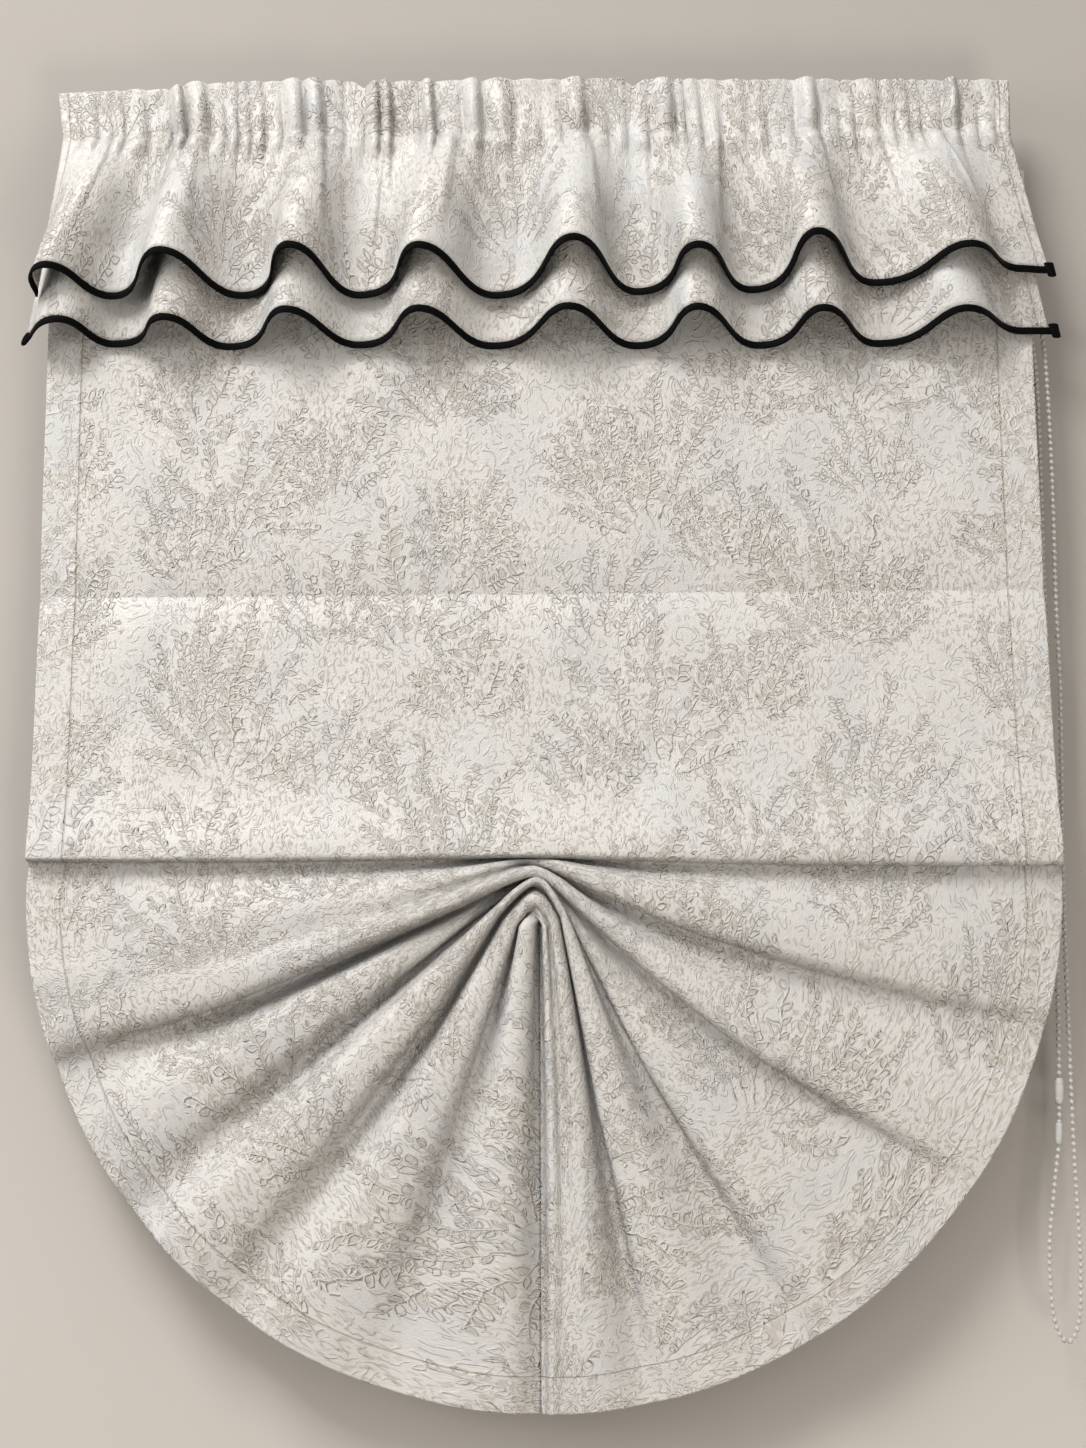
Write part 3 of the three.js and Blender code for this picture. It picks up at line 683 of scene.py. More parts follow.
def figured_weave(w, place, faintness, scrolls):
    """The woven figure of the cloth, from a place in metres along it: the slope of the raised lines, the
    curls of thread, the figure's beige outlines with painted shade along their lower right sides, the leaves
    that are filled in, and where the bushes are warmest."""
    size = {"Column": 205.0, "Row": 240.0, "Reach": 185.0, "Spread": 0.4, "Leaf": 13.0, "Seed": 1.0}
    bushes = shared_group(
        "leafy bushes",
        {"Place": NOWHERE, **size},
        {"Distance": 0.0, "Leaf": 0.0, "Away": NOWHERE},
        leafy_bushes,
    )
    place = place * (1000.0, 1000.0, 0.0)
    large = w.noise(place, 0.022, 0.0, output="Color")
    small = w.noise(place, 0.12, 0.0, output="Color")
    shift = (large + (-0.5, -0.5, 0.0)) * (15.0, 15.0, 0.0) + place
    shift = (small + (-0.5, -0.5, 0.0)) * (2.8, 2.8, 0.0) + shift
    layers = []
    for row in BUSHES:
        given = dict(enumerate((shift, *row)))
        node = w.put("ShaderNodeGroup", given, node_tree=bushes)
        layers.append([Value(w, socket) for socket in node.outputs])
    (main, main_leaf, main_away), (other, other_leaf, other_away) = layers
    warm = w.rise(w.noise(place * (1.0, 0.7, 0.0), 0.0105, 1.0), 0.38, 0.60)
    other = other + (0.45 - warm * 0.4)
    nearest = w.smaller(main, other) + (faintness - warm * 0.18)
    on_main = main < other
    away = main_away * on_main + other_away * (1.0 - on_main)
    steep = w.sine(w.math("MULTIPLY", nearest, 0.72, clamp=True) * math.pi)

    # Curls of thread fill the ground between the bushes
    curl = w.noise(shift * (1.0, 0.75, 0.0), 0.06, 1.0)
    curls = w.fade(abs(w.math("FRACT", curl * 7.0) - 0.5), 0.04, 0.22)
    _, _, gaps = w.parts(small)
    curls = curls * w.rise(gaps, 0.42, 0.52) * scrolls

    # The beige outline along a line is the figure's own colour; weighted towards the line's lower right side,
    # it is also painted shade of the raised line
    away_x, away_y, _ = w.parts(away)
    painted_shade_side = away_x * 0.6 - away_y * 0.8
    shade = w.fade(abs(nearest - 1.1), 0.15, 1.0) * w.math("MULTIPLY_ADD", painted_shade_side, 0.4, 0.6)
    shade = w.larger(shade, curls * w.rise(nearest, 1.0, 2.4) * 0.36)
    return away * steep, curls, shade, w.larger(main_leaf, other_leaf * warm), warm


def surface(name):
    """A new material with its wiring, its Principled shader and its output."""
    material = bpy.data.materials.new(name)
    material.use_nodes = True
    material.node_tree.nodes.clear()
    w = Wiring(material.node_tree)
    shader = w.put("ShaderNodeBsdfPrincipled")
    output = w.put("ShaderNodeOutputMaterial", {0: Value(w, shader.outputs[0])})
    return material, w, shader, output


def cloth_material(name, faint, scrolls, cloth):
    """White figured cloth with a satin ground, raised leafy bushes and a sewn hem where the edge map says."""
    weave = shared_group(
        "figured weave",
        {"Place": NOWHERE, "Faintness": 0.0, "Scrolls": 0.0},
        {"Slope": NOWHERE, "Curls": 0.0, "Figure and painted shade": 0.0, "Leaf": 0.0, "Warm": 0.0},
        figured_weave,
    )
    material, w, shader, _ = surface(name)
    place = w.get("ShaderNodeUVMap", uv_map="weave")
    figure = w.put("ShaderNodeGroup", {0: place, 1: faint, 2: scrolls}, node_tree=weave)
    # lines: the figure's outlines and curls, with painted shade along the lower right side of each line
    slope, curls, lines, leaf, warm = (Value(w, socket) for socket in figure.outputs)
    from_edge, hem_wide, _ = w.parts(w.get("ShaderNodeUVMap", uv_map="edge"))
    past_seam = from_edge - hem_wide
    in_hem = w.fade(past_seam, -0.0012, 0.0006)
    seam = w.fade(abs(past_seam), 0.0002, 0.0012)

    # Colour: cloudy ground, then the figure's beige outlines with painted shade along the lines' lower right
    # sides, the filled leaves and the flecks
    cloud = w.noise(place * (1.0, 0.55, 0.0), 17.0, 3.0, 0.62)
    cool = w.math("MULTIPLY", w.rise(cloud, 0.42, 0.62), 1.15 - warm, clamp=True)
    ground = w.blend(cool, (*cloth.ground, 1), (*cloth.cool, 1))
    flecks = w.noise(place * (1.0, 0.5, 0.0), 330.0, 1.0)
    flecked = w.rise(flecks, 0.55, 0.66) * (warm * 0.45 + 0.14)
    shade = w.larger(w.larger(lines * (0.64 - in_hem * 0.2), leaf * 0.45), flecked)
    figured = w.blend(shade, ground, (*cloth.line, 1))

    # Relief: the raised lines turn the surface their own way, and curls, threads and seam are a bump on it
    slope = slope * (cloth.relief / FULL_RELIEF - in_hem * 0.2) + (0.5, 0.5, 1.0)
    raised = w.get("ShaderNodeNormalMap", 0, {"Color": slope}, space="TANGENT", uv_map="weave")
    thread = w.noise(place * (1.0, 0.6, 0.0), 900.0, 0.0)
    height = curls * 0.85 + thread * 0.4 - seam * 0.9
    w.feed(
        shader,
        {
            "Base Color": w.blend(seam * 0.55, figured, (*cloth.line, 1)),
            "Roughness": w.math("MULTIPLY_ADD", lines, 0.25, 0.34),
            "Sheen Weight": 0.1,
            "Sheen Roughness": 0.45,
            "Normal": w.bump(height, 1.0, cloth.relief, raised),
        },
    )
    return material


def plastic_material(name, colour):
    """White moulded plastic with a slight unevenness."""
    material, w, shader, _ = surface(name)
    uneven = w.noise(w.get("ShaderNodeTexCoord", "Object"), 900.0, dimensions="3D")
    look = {
        "Base Color": w.toned(colour, w.math("MULTIPLY_ADD", uneven, 0.06, 0.97)),
        "Roughness": w.math("MULTIPLY_ADD", uneven, 0.10, 0.24),
        "Normal": w.bump(uneven, 0.12, 0.0002),
    }
    w.feed(shader, look)
    return material


def tape_material(colour):
    """Black satin tape with fine ribs across it."""
    material, w, shader, _ = surface("satin tape")
    place = w.get("ShaderNodeUVMap", uv_map="weave")
    along, _, _ = w.parts(place)
    rib = w.sine(along * (2 * math.pi / TAPE_RIB))
    uneven = w.noise(place * (1.0, 1.0, 0.0), 600.0)
    look = {
        "Base Color": w.toned(colour, w.math("MULTIPLY_ADD", uneven, 0.6, 0.7)),
        "Roughness": w.math("MULTIPLY_ADD", uneven, 0.2, 0.40),
        "Specular IOR Level": 0.05,
        "Normal": w.bump(rib * 0.5 + uneven, 0.4, 0.0003),
    }
    w.feed(shader, look)
    return material


def outline_at(side, edge, half):
    """A point of the panel's outline, at a distance down its side hem."""
    turn = np.maximum(edge - FAN_TOP, 0) / HALF_WIDTH
    fan = edge >= FAN_TOP
    x = np.where(fan, FAN_RADIUS * np.cos(turn), half)
    z = np.where(fan, -FAN_TOP - FAN_RADIUS * np.sin(turn), -edge)
    return side * x, z


def fan_line(row):
    """A line of the fan as a column: a row of its table, and half the panel's width."""
    return np.array([*row, HALF_WIDTH])[:, None]


def straight_line(down, side):
    """A line across the panel above its fan, at a distance below the top edge, as a fan line's column."""
    places, halves, outs = np.array(STRAIGHT_ROWS, float).T
    fall = (CREASE - down) / CREASE_ABOVE if down < CREASE else (down - CREASE) / CREASE_BELOW
    out = smooth(down, places, outs) - CREASE_DIP * math.exp(-fall)
    x = (FAN_LEFT if side < 0 else FAN_RIGHT)[0][0]
    half = np.interp(down, places, halves)
    return np.array([x, -down, down, 0, out, out, out, out * 0.9, 1, half])[:, None]


def on_line(line, side, share):
    """The point at a share of a line's length, without its fold: x, z and how far forward."""
    x, z, edge, bow, near, _, mid, far, _, half = line
    rim_x, rim_z = outline_at(side, edge, half)
    run_x = rim_x - x
    run_z = rim_z - z
    swell = 4 * share * (1 - share)
    sag = swell * bow / np.hypot(run_x, run_z)
    out = near * (1 - share) * (1 - 2 * share) + mid * swell + far * share * (2 * share - 1)
    return x + run_x * share + side * sag * run_z, z + run_z * share - np.abs(run_x) * sag, out


def on_arch(left, right, share):
    """The point at a share of the tent-like arch that joins a left line to a right one over the centre."""
    ways = []
    for line, side in ((left, -1), (right, 1)):
        way = line[:2] - on_line(line, side, 0.04)[:2]
        ways.append(way / np.hypot(*way))
    (ux, uz), (vx, vz) = ways
    gap_x, gap_z = right[:2] - left[:2]
    most = 0.8 * np.hypot(gap_x, gap_z)
    turn = ux * vz - uz * vx
    turn = np.where(np.abs(turn) < 0.05, 0.05, turn)
    from_left = np.clip((gap_x * vz - gap_z * vx) / turn, 0, most)
    from_right = np.clip((gap_x * uz - gap_z * ux) / turn, 0, most)
    peak = (left[:2] + ways[0] * from_left + right[:2] + ways[1] * from_right) / 2
    first, second, third = (1 - share) ** 2, 2 * TENT * share * (1 - share), share**2
    x, z = (first * left[:2] + second * peak + third * right[:2]) / (first + second + third)
    near, over = (left[NEAR], right[NEAR]), (left[OVER], right[OVER])
    rise = (sum(over) - sum(near)) / 2
    return x, z, mix(*near, share_of(share, 0, 1)) + rise * 4 * share * (1 - share)


def across_panel(left, right, shares, arches):
    """The points of one line right across the panel, from the left hem to the right hem. A line is one
    column, or a column for each of those points."""
    count = len(shares)
    left, right = (np.broadcast_to(line, (len(line), 2 * count + len(arches))) for line in (left, right))
    lefts = on_line(left[:, :count], -1, shares[::-1])
    overs = on_arch(left[:, count:-count], right[:, count:-count], arches)
    rights = on_line(right[:, -count:], 1, shares)
    return np.hstack([lefts, overs, rights])


def panel_grid():
    """The panel's points in millimetres, with the maps of its weave and of its hem."""
    inside = 1 - HEM_STRIP / HALF_WIDTH
    inner = np.linspace(0, inside, 68) ** 1.12
    shares = np.append(inner * inside / inner[-1], 1 - np.array(HEM_STEPS)[::-1] / HALF_WIDTH)
    arches = np.linspace(0, 1, 18)[1:-1]
    above = np.append(np.linspace(4, 440, 46), np.linspace(440, 476, 8)[1:])
    below = np.linspace(CREASE_STEPS[-1], STRAIGHT_ROWS[-1][0], 30)[1:]
    cloth_down = [*above, *CREASE_STEPS, *below]
    lines = [(straight_line(down, -1), straight_line(down, 1)) for down in cloth_down]
    rows = [across_panel(*line, shares, arches) for line in lines]
    lines = [lines[-1], *zip(map(fan_line, FAN_LEFT), map(fan_line, FAN_RIGHT), strict=True)]
    for before, after in zip(lines[:-1], lines[1:], strict=True):
        first = across_panel(*before, shares, arches)
        second = across_panel(*after, shares, arches)
        rise = np.abs(second[2] - first[2])
        run = np.hypot(*(second - first)[:2])
        late = mix(after[0][LATE], after[1][LATE], np.pad(arches, len(shares), constant_values=(0, 1)))
        for share in np.arange(1, STRIP_STEPS + 1) / STRIP_STEPS:
            along, up = flank(share, rise, run, late)
            here = (mix(*line, along) for line in zip(before, after, strict=True))
            x, z, _ = across_panel(*here, shares, arches)
            rows.append([x, z, mix(first[2], second[2], up)])
            cloth_down.append(mix(before[0][EDGE, 0], after[0][EDGE, 0], share))
    x, z, out = np.array(rows).transpose(1, 0, 2)
    grid = np.stack([x, -out, z], -1)
    cloth_down = np.array(cloth_down)[:, None]

    # The weave map: across the cloth from its middle, and down the cloth along its hem
    along = run_along(grid, 1)
    middle = along.shape[1] // 2
    across = along - along[:, middle : middle + 1]
    fall = run_along(grid, 0)
    quarter = len(shares) // 3
    down_cloth = 0.5 * (fall[:, [quarter]] + fall[:, [-quarter]])
    weave = np.stack(np.broadcast_arrays(across, -down_cloth), -1) * MM
    from_side = np.minimum(along, along[:, -1:] - along)
    hem = np.where(cloth_down > FAN_TOP, FAN_HEM, HEM)
    edge = np.stack(np.broadcast_arrays(from_side, hem), -1) * MM

    # The hem is double cloth, so it stands a little proud, and the cloth is never quite even
    double = 1 - share_of(from_side, 30.5, 32.0)
    wave = ripple(across, down_cloth, 90.0, 3) * 0.7 + ripple(across, down_cloth, 38.0, 4) * 0.28
    calm = 1 - share_of(cloth_down, 700, 760) * 0.55
    pucker = np.exp(-(((across + 45) / 5.0) ** 2)) * share_of(cloth_down, 360, 420) * (cloth_down < 690)
    grid[:, :, 1] -= 0.55 * double + wave * calm * share_of(from_side, 0, 25) + 0.7 * pucker
    return grid, {"weave": weave, "edge": edge}


def fold_point(folds, sewn, fall, top, out):
    """A skirt's points. sewn: places on the sewing line. fall: shares of the way down to the hem."""
    places, hem_x, hem_z, hem_out, late = np.array(folds, float).T
    k, t = between_rows(places, sewn)
    flare = np.maximum(fall, 0) ** SKIRT_FLARE
    swell = 1 - (1 - np.clip(fall, 0, 1)) ** 1.7
    x0, x1 = (mix(places[j], hem_x[j], flare) for j in (k, k + 1))
    out0, out1 = (mix(out, hem_out[j], swell) for j in (k, k + 1))
    along, up = flank(t, np.abs(out1 - out0), x1 - x0, late[k + 1])
    return mix(x0, x1, along), mix(top, mix(hem_z[k], hem_z[k + 1], up), fall), mix(out0, out1, up)


def gathers(sewn):
    """How far the gathers stand out at places on the sewing line, and how full each is: 0 in a pinch, up to
    about 1.3 between two, steepest at the right."""
    places, fullness = np.array(PINCHES).T
    k, t = between_rows(places, sewn)
    full = fullness[k]
    return full * np.sin(math.pi * t**1.3) ** 0.8, share_of(full, 0.92, 1.2)


def front_point(sewn, fall, depth):
    """The front skirt, whose gathers die out a third of the way down."""
    x, z, out = fold_point(FRONT_FOLDS, sewn, fall, SEWING_LINE, HEADING_OUT)
    below = np.maximum(fall, 0)
    gather, tube = gathers(sewn)
    puff = np.exp(-below / mix(0.10, 0.24, tube)) + 0.9 * np.exp(-(((below - 0.07) / 0.05) ** 2))
    out = out + depth * gather * puff
    for top, foot, height, width in RIDGES:
        past = mix(top, foot, np.clip(below / 0.75, 0, 1.2)) - sewn
        ridge = share_of(past, -1.0, 1.6) * np.exp(-np.maximum(past, 0) / (width * (0.5 + below)))
        out = out + height * ridge * share_of(below, 0.0, 0.06) * (1 - share_of(below, 0.45, 0.95))
    return x, z, out + 1.3 * ripple(sewn, below * 150, 46.0, 8) * share_of(below, 0.1, 0.6)


def back_point(sewn, fall, _depth):
    """The back skirt, which has no gathers that show."""
    x, z, out = fold_point(BACK_FOLDS, sewn, fall, BACK_SKIRT_TOP, BACK_SKIRT_OUT)
    return x, z, out + 0.7 * ripple(sewn, fall * 190, 46.0, 9) * share_of(fall, 0.2, 0.7)


def frill_point(sewn, rise, depth):
    """The heading above the sewing line. rise is the share of the way up to the top edge."""
    full, tube = gathers(sewn)
    top = np.interp(sewn, *np.array(FRILL_TOP).T) + 1.2 * (full - 0.7)
    swell = 0.62 + 0.75 * np.sin(math.pi * np.clip(rise * 1.15, 0, 1)) ** 0.7
    puff = mix(0.2 + 0.9 * (1 - rise) ** 2.5, 1.45 * swell, tube)
    lean = 2.2 * ripple(sewn, rise * 20, 55.0, 12) * rise
    x = sewn * (1 + 0.008 * rise) - 3 * rise + lean
    out = HEADING_OUT + depth * full * puff - 1.5 * rise + 1.4 * ripple(sewn, rise * 30, 30.0, 13) * rise
    return x, mix(SEWING_LINE, top, rise), out


def skirt_grid(places, point, falls, depth):
    sewn, fall = np.meshgrid(places, falls)
    x, z, out = point(sewn, fall, depth)
    return np.stack([x, -out, z], -1)


def skirt_maps(grid, start):
    """A skirt's weave map, in metres along the cloth, and its edge map, which has hems at its two sides."""
    down = run_along(grid, 0).mean(axis=1)
    low, down = np.meshgrid(run_along(grid[-1], 0), down)
    weave = np.stack([low + start, -down + start * 2], -1) * MM
    from_side = np.minimum(low, low[:, -1:] - low)
    return {"weave": weave, "edge": np.stack([from_side, np.full_like(from_side, SIDE_HEM)], -1) * MM}


def dress(piece, slot, *nodes):
    """Makes a piece ride on the row's one body, in place of its solids."""
    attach(piece, "root")
    if nodes:
        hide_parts(*nodes)


class BLIND_OT_stage(bpy.types.Operator):
    """Set up the backdrop, the floor, the soft lights and the camera"""

    bl_idname = "blind.stage"
    bl_label = "Stage"

    def execute(self, context):
        scene = context.scene
        stage = scene.blind_stage
        self.camera(scene)
        wall = self.backdrop(stage)
        for name, place, towards, size, share, colour in LAMPS:
            lamp = bpy.data.lights.new(name, "AREA")
            lamp.shape = "SQUARE"
            lamp.size = size
            lamp.energy = stage.key * share
            lamp.color = colour
            made = new_object(name, lamp)
            made.location = place
            made.rotation_euler = (Vector(towards) - Vector(place)).to_track_quat("-Z", "Y").to_euler()
        scene.world = bpy.data.worlds.new("studio")
        scene.world.use_nodes = True
        shade = scene.world.node_tree.nodes["Background"]
        shade.inputs["Color"].default_value = (1.0, 0.975, 0.935, 1.0)
        shade.inputs["Strength"].default_value = 0.38
        scene.view_settings.view_transform = "Standard"
        scene.cycles.max_bounces = 2
        scene.cycles.diffuse_bounces = 0
        scene.cycles.adaptive_threshold = 0.25
        return {"FINISHED"}

    def camera(self, scene):
        """The fitted viewpoint: below the valance, looking up by about ten degrees."""
        camera = new_object("camera", bpy.data.cameras.new("camera"))
        yaw, pitch, roll = (math.radians(v) for v in (-0.07, 10.36, -0.49))
        turn = Matrix.Rotation(-yaw, 4, "Z") @ Matrix.Rotation(math.pi / 2 + pitch, 4, "X")
        turn = turn @ Matrix.Rotation(roll, 4, "Z")
        camera.matrix_world = Matrix.Translation((0.0025, -2.099, -0.986)) @ turn
        camera.data.sensor_fit = "VERTICAL"
        camera.data.sensor_height = SENSOR
        camera.data.sensor_width = SENSOR
        camera.data.lens = SENSOR * FOCAL_PIXELS / PHOTO_HEIGHT
        camera.data.clip_end = 50.0
        scene.camera = camera

    def backdrop(self, stage):
        """A wall that runs out into the floor in one curve, seen only from the front."""
        floor, radius = -1.75, 0.5
        bend = np.linspace(0, math.pi / 2, 13)
        curve = [(stage.wall - radius * (1 - math.cos(a)), floor + radius * (1 - math.sin(a))) for a in bend]
        section = [(stage.wall, 1.9), *curve, (-4.5, floor)]
        points = np.array([(side, y, z) for y, z in section for side in (-3.5, 3.5)])
        faces = [(2 * i, 2 * i + 2, 2 * i + 3, 2 * i + 1) for i in range(len(section) - 1)]
        material, w, shader, output = surface("plain backdrop")
        where = w.get("ShaderNodeTexCoord", "Object")
        uneven = w.noise(where, 1.6, 3.0, dimensions="3D")
        # Painted light: the backdrop is lighter towards the bottom and on the floor, and a little darker
        # towards its top, as the light falls on the wall
        _, _, height = w.parts(where)
        tone = w.math("MULTIPLY_ADD", uneven, 0.06, w.fade(height, -1.3, 0.1) * 0.32 + 0.9)
        w.feed(shader, {"Base Color": w.toned(stage.tone, tone), "Roughness": 0.9, "Specular IOR Level": 0.1})
        # Clear from behind, and to the lamp that lights the blind's back
        back = w.get("ShaderNodeNewGeometry", "Backfacing")
        shadow = w.get("ShaderNodeLightPath", "Is Shadow Ray")
        clear = w.get("ShaderNodeBsdfTransparent")
        given = {0: w.larger(back, shadow), 1: Value(w, shader.outputs[0]), 2: clear}
        w.feed(output, {0: w.get("ShaderNodeMixShader", 0, given)})
        return mesh_object("backdrop", points, faces, material)


def chain_path(steps):
    """The chain's centreline in metres, as a smooth curve through its route."""
    route = np.array(CHAIN_ROUTE, float)
    ends = np.vstack([2 * route[0] - route[1], route, 2 * route[-1] - route[-2]])
    t = (np.arange(steps) / steps)[:, None]
    found = []
    for p0, p1, p2, p3 in zip(ends[:-3], ends[1:-2], ends[2:-1], ends[3:], strict=True):
        curve = (p2 - p0) * t + (2 * p0 - 5 * p1 + 4 * p2 - p3) * t**2 + (3 * p1 - p0 - 3 * p2 + p3) * t**3
        found.append(p1 + curve / 2)
    return np.vstack([*found, route[-1]]) * MM


def even_points(path, gap):
    """Points at an even gap along a path, with the directions at each."""
    run = run_along(path, 0)
    at = np.linspace(0, run[-1], max(round(run[-1] / gap), 1) + 1)
    points = np.stack([np.interp(at, run, part) for part in path.T], -1)
    return points, directions(unit(np.gradient(points, axis=0)))


def directions(ways):
    """Three directions at each place: along the way there, and two across it."""
    aside = unit(np.cross(ways, (0.0, 1.0, 0.0)))
    return np.stack([ways, aside, np.cross(ways, aside)], 1)


def turned_body(profile, centre, ways, sides):
    """A turned form as rings of points. profile: (along, radius), round the line through the centre."""
    way, aside, over = ways
    along, radius = np.array(profile).T[:, :, None, None]
    angles = (2 * math.pi * np.arange(sides) / sides)[:, None]
    return centre + way * along + radius * (aside * np.cos(angles) + over * np.sin(angles))


def bodies_object(name, bodies, material, maps=None):
    """A piece of closed bodies, each a run of rings of points in metres."""
    faces, start = [], 0
    for body in bodies:
        rings, sides = body.shape[:2]
        index = start + np.arange(rings * sides).reshape(rings, sides)
        turned = np.roll(index, -1, axis=1)
        faces += quads(index[:-1], turned[:-1], turned[1:], index[1:]).tolist()
        faces += [index[0][::-1].tolist(), index[-1].tolist()]
        start += rings * sides
    return mesh_object(name, np.vstack([body.reshape(-1, 3) for body in bodies]), faces, material, maps)


class BLIND_OT_chain(bpy.types.Operator):
    """Make the bead chain with its two joints"""

    bl_idname = "blind.chain"
    bl_label = "Bead chain"

    def execute(self, context):
        chain = context.scene.blind_chain
        white = plastic_material("white beads", chain.colour)
        path = chain_path(16)
        radius = chain.bead / 2
        turns = np.linspace(0, math.pi, 8)
        bead = [(-radius * math.cos(t), max(radius * math.sin(t), BEAD_TIP)) for t in turns]
        points, ways = even_points(path, chain.pitch)
        places = list(zip(points, ways, strict=True))[1:-1]
        bodies = [turned_body(bead, *place, BEAD_SIDES) for place in places]
        points, ways = even_points(path, chain.pitch * 0.6)
        places = zip(points, ways, strict=True)
        string = [turned_body([(0.0, STRING_RADIUS)], *place, STRING_SIDES) for place in places]
        piece = bodies_object("bead_chain_loop", [*bodies, np.concatenate(string)], white)
        dress(piece, "chain", "bead_chain")
        joints = [self.joint(path, white, *row) for row in CHAIN_JOINTS]
        return {"FINISHED"}

    def joint(self, path, material, name, top, length, radius):
        """A barrel joint that clips two ends of the chain together, with a groove near each end."""
        back = path[len(path) // 2 :]
        k = int(np.argmin(np.abs(back[:, 2] - (top - length / 2) * MM)))
        half = length * MM / 2
        wide = radius * MM
        end = [(into, rim + wide * part) for into, rim, part in JOINT_END]
        profile = [(into - half, rim) for into, rim in end] + [(0.0, wide * 1.02)]
        profile += [(half - into, rim) for into, rim in reversed(end)]
        ways = directions(unit(back[k + 1] - back[k - 1])[None, :])[0]
        barrel = turned_body(profile, back[k], ways, JOINT_SIDES)
        piece = bodies_object(name + "_barrel", [barrel], material)
        dress(piece, "chain", name)
        return piece


class BLIND_OT_panel(bpy.types.Operator):
    """Make the panel, which hangs straight and is drawn up into a half-round fan"""

    bl_idname = "blind.panel"
    bl_label = "Panel"

    def execute(self, context):
        cloth = context.scene.blind_cloth
        grid, maps = panel_grid()
        material = cloth_material("figured cloth", 0.1, 0.95, cloth)
        piece = sheet_object("fan_panel", grid, cloth.thickness, material, maps)
        dress(piece, "cloth", "panel")
        return {"FINISHED"}


class BLIND_OT_valance(bpy.types.Operator):
    """Make the gathered heading with its front skirt, and the back skirt"""

    bl_idname = "blind.valance"
    bl_label = "Valance"

    def execute(self, context):
        cloth = context.scene.blind_cloth
        depth = cloth.gather / MM
        places = spread_out(PINCHES, 9)
        frill = skirt_grid(places, frill_point, np.array(FRILL_RISES), depth)
        falls = np.append([0.0, 0.012, 0.03, 0.05, 0.075, 0.1], np.linspace(0.13, 1, 30))
        grid = np.concatenate([frill, skirt_grid(places, front_point, falls, depth)])
        material = cloth_material("figured cloth of the skirts", 0.3, 0.55, cloth)
        maps = skirt_maps(grid, 37.0)
        front = sheet_object("valance_heading_and_skirt", grid, cloth.thickness, material, maps)
        dress(front, "cloth", "valance_front")
        grid = skirt_grid(spread_out(BACK_FOLDS, 22), back_point, np.linspace(0, 1, 36), depth)
        maps = skirt_maps(grid, 211.0)
        back = sheet_object("valance_back_skirt", grid, cloth.thickness, material, maps)
        dress(back, "cloth", "valance_back")
        return {"FINISHED"}


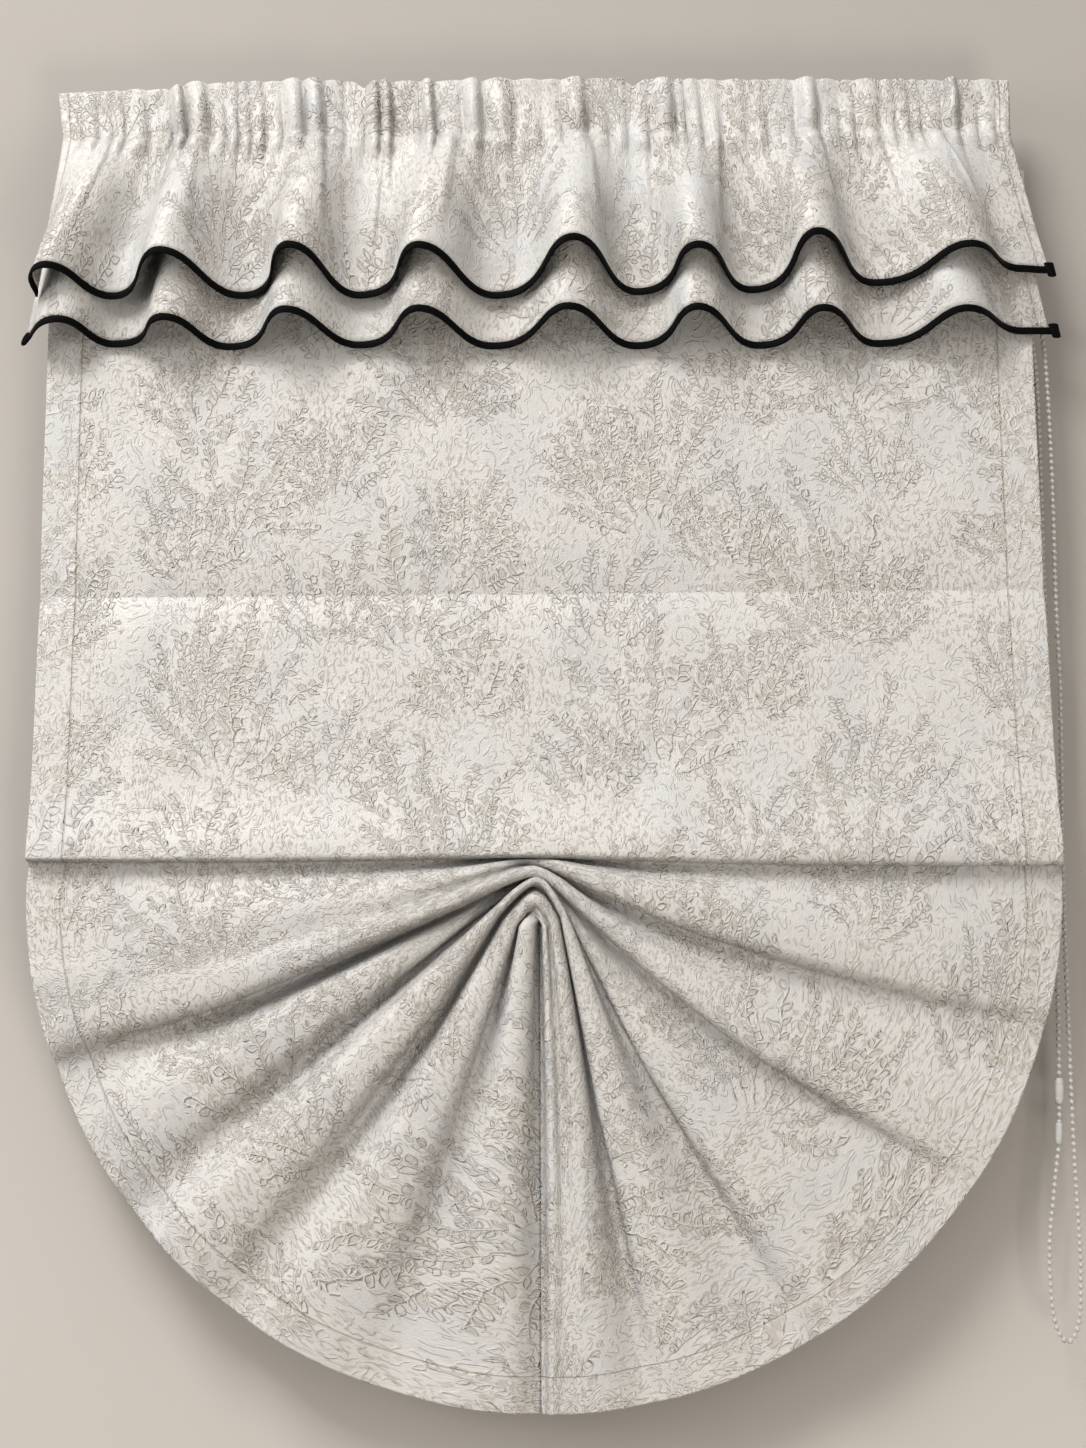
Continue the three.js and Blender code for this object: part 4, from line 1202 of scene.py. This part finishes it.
class BLIND_OT_binding(bpy.types.Operator):
    """Bind the two skirts' hems with dark satin tape"""

    bl_idname = "blind.binding"
    bl_label = "Binding"

    def execute(self, context):
        tape = context.scene.blind_binding
        depth = context.scene.blind_cloth.gather / MM
        material = tape_material(tape.colour)
        both_ends = {-1: FOLDED_END, 0: TUCKED_END}
        for name, node, folds, point, past, ends in (
            ("binding_tape_front", "binding_front", FRONT_FOLDS, front_point, 0.5, {-1: FOLDED_END}),
            ("binding_tape_back", "binding_back", BACK_FOLDS, back_point, 4.5, both_ends),
        ):
            above, hem = skirt_grid(spread_out(folds, 24), point, np.array([0.985, 1.0]), depth)
            # The tape runs on a little past the cloth's right edge
            hem, above = (np.vstack([p, p[-1] + (past, 0, 0)]) for p in (hem, above))
            self.tape(name, node, hem, above, ends, tape, material)
        return {"FINISHED"}

    def tape(self, name, node, hem, above, ends, tape, material):
        """A folded tape round a hem: a rounded flat section swept along the hem's edge, with its ends folded
        over."""
        width = tape.width / MM
        thick = tape.thickness / MM
        along = unit(np.gradient(hem, axis=0))
        down = hem - above
        down = unit(down - along * (down * along).sum(1, keepdims=True))
        face = np.cross(down, along)
        turn = 2 * math.pi * np.arange(TAPE_SIDES) / TAPE_SIDES
        flat = np.sign(np.cos(turn)) * np.abs(np.cos(turn)) ** 0.6
        deep = np.sign(np.sin(turn)) * np.abs(np.sin(turn)) ** 0.75
        grow = np.ones((len(hem), 1, 1))
        grow[0] = 0.55
        middle = hem + down * (width / 2 - 0.6)
        section = flat[:, None] * width / 2 * down[:, None] + deep[:, None] * thick / 2 * face[:, None]
        bodies = [middle[:, None] + section * grow]
        maps = [np.stack(np.broadcast_arrays(run_along(hem, 0)[:, None], turn * width / math.pi), -1)]
        for end, rows in ends.items():
            aside, fall, wide = np.array(rows).T[:, :, None]
            x = middle[end][0] + aside + flat * wide / 2
            y = middle[end][1] - 0.3 + deep * (thick + 0.8) / 2 * np.minimum(wide / 5, 1)
            bodies.append(np.stack(np.broadcast_arrays(x, y, middle[end][2] - fall), -1))
            maps.append(np.stack(np.broadcast_arrays(fall, x), -1))
        weave = np.vstack([part.reshape(-1, 2) for part in maps]) * MM
        piece = bodies_object(name, [body * MM for body in bodies], material, {"weave": weave})
        dress(piece, "binding", node)


class BLIND_OT_drive(bpy.types.Operator):
    """Give the chain's drive its finish"""

    bl_idname = "blind.drive"
    bl_label = "Chain drive"

    def execute(self, context):
        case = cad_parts["chain_drive"]
        material = plastic_material("white case", context.scene.blind_chain.colour)
        case.data.materials.clear()
        case.data.materials.append(material)
        return {"FINISHED"}


class BLIND_PT_panel(bpy.types.Panel):
    """Lists the blind's sizes, colours and pieces"""

    bl_idname = "BLIND_PT_panel"
    bl_label = "Fan Roman Blind"
    bl_space_type = "VIEW_3D"
    bl_region_type = "UI"
    bl_category = "Blind"

    def draw(self, context):
        for name in SETTINGS:
            box = self.layout.box()
            group = getattr(context.scene, name)
            for prop in group.bl_rna.properties:
                if prop.identifier not in ("rna_type", "name"):
                    box.prop(group, prop.identifier)
        for operator in OPERATORS:
            self.layout.operator(operator.bl_idname)


SETTINGS = {
    "blind_stage": BlindStage,
    "blind_chain": BlindChain,
    "blind_cloth": BlindCloth,
    "blind_binding": BlindBinding,
}
OPERATORS = (
    BLIND_OT_stage,
    BLIND_OT_chain,
    BLIND_OT_valance,
    BLIND_OT_panel,
    BLIND_OT_binding,
    BLIND_OT_drive,
)


def register():
    for cls in (*SETTINGS.values(), *OPERATORS, BLIND_PT_panel):
        bpy.utils.register_class(cls)
    for name, cls in SETTINGS.items():
        setattr(bpy.types.Scene, name, bpy.props.PointerProperty(type=cls))


def unregister():
    for name in SETTINGS:
        delattr(bpy.types.Scene, name)
    for cls in (BLIND_PT_panel, *reversed(OPERATORS), *reversed(SETTINGS.values())):
        bpy.utils.unregister_class(cls)


def main():
    register()
    bpy.ops.blind.stage()
    bpy.ops.blind.chain()
    bpy.ops.blind.valance()
    bpy.ops.blind.panel()
    bpy.ops.blind.binding()
    bpy.ops.blind.drive()
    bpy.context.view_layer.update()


if __name__ == "__main__":
    main()
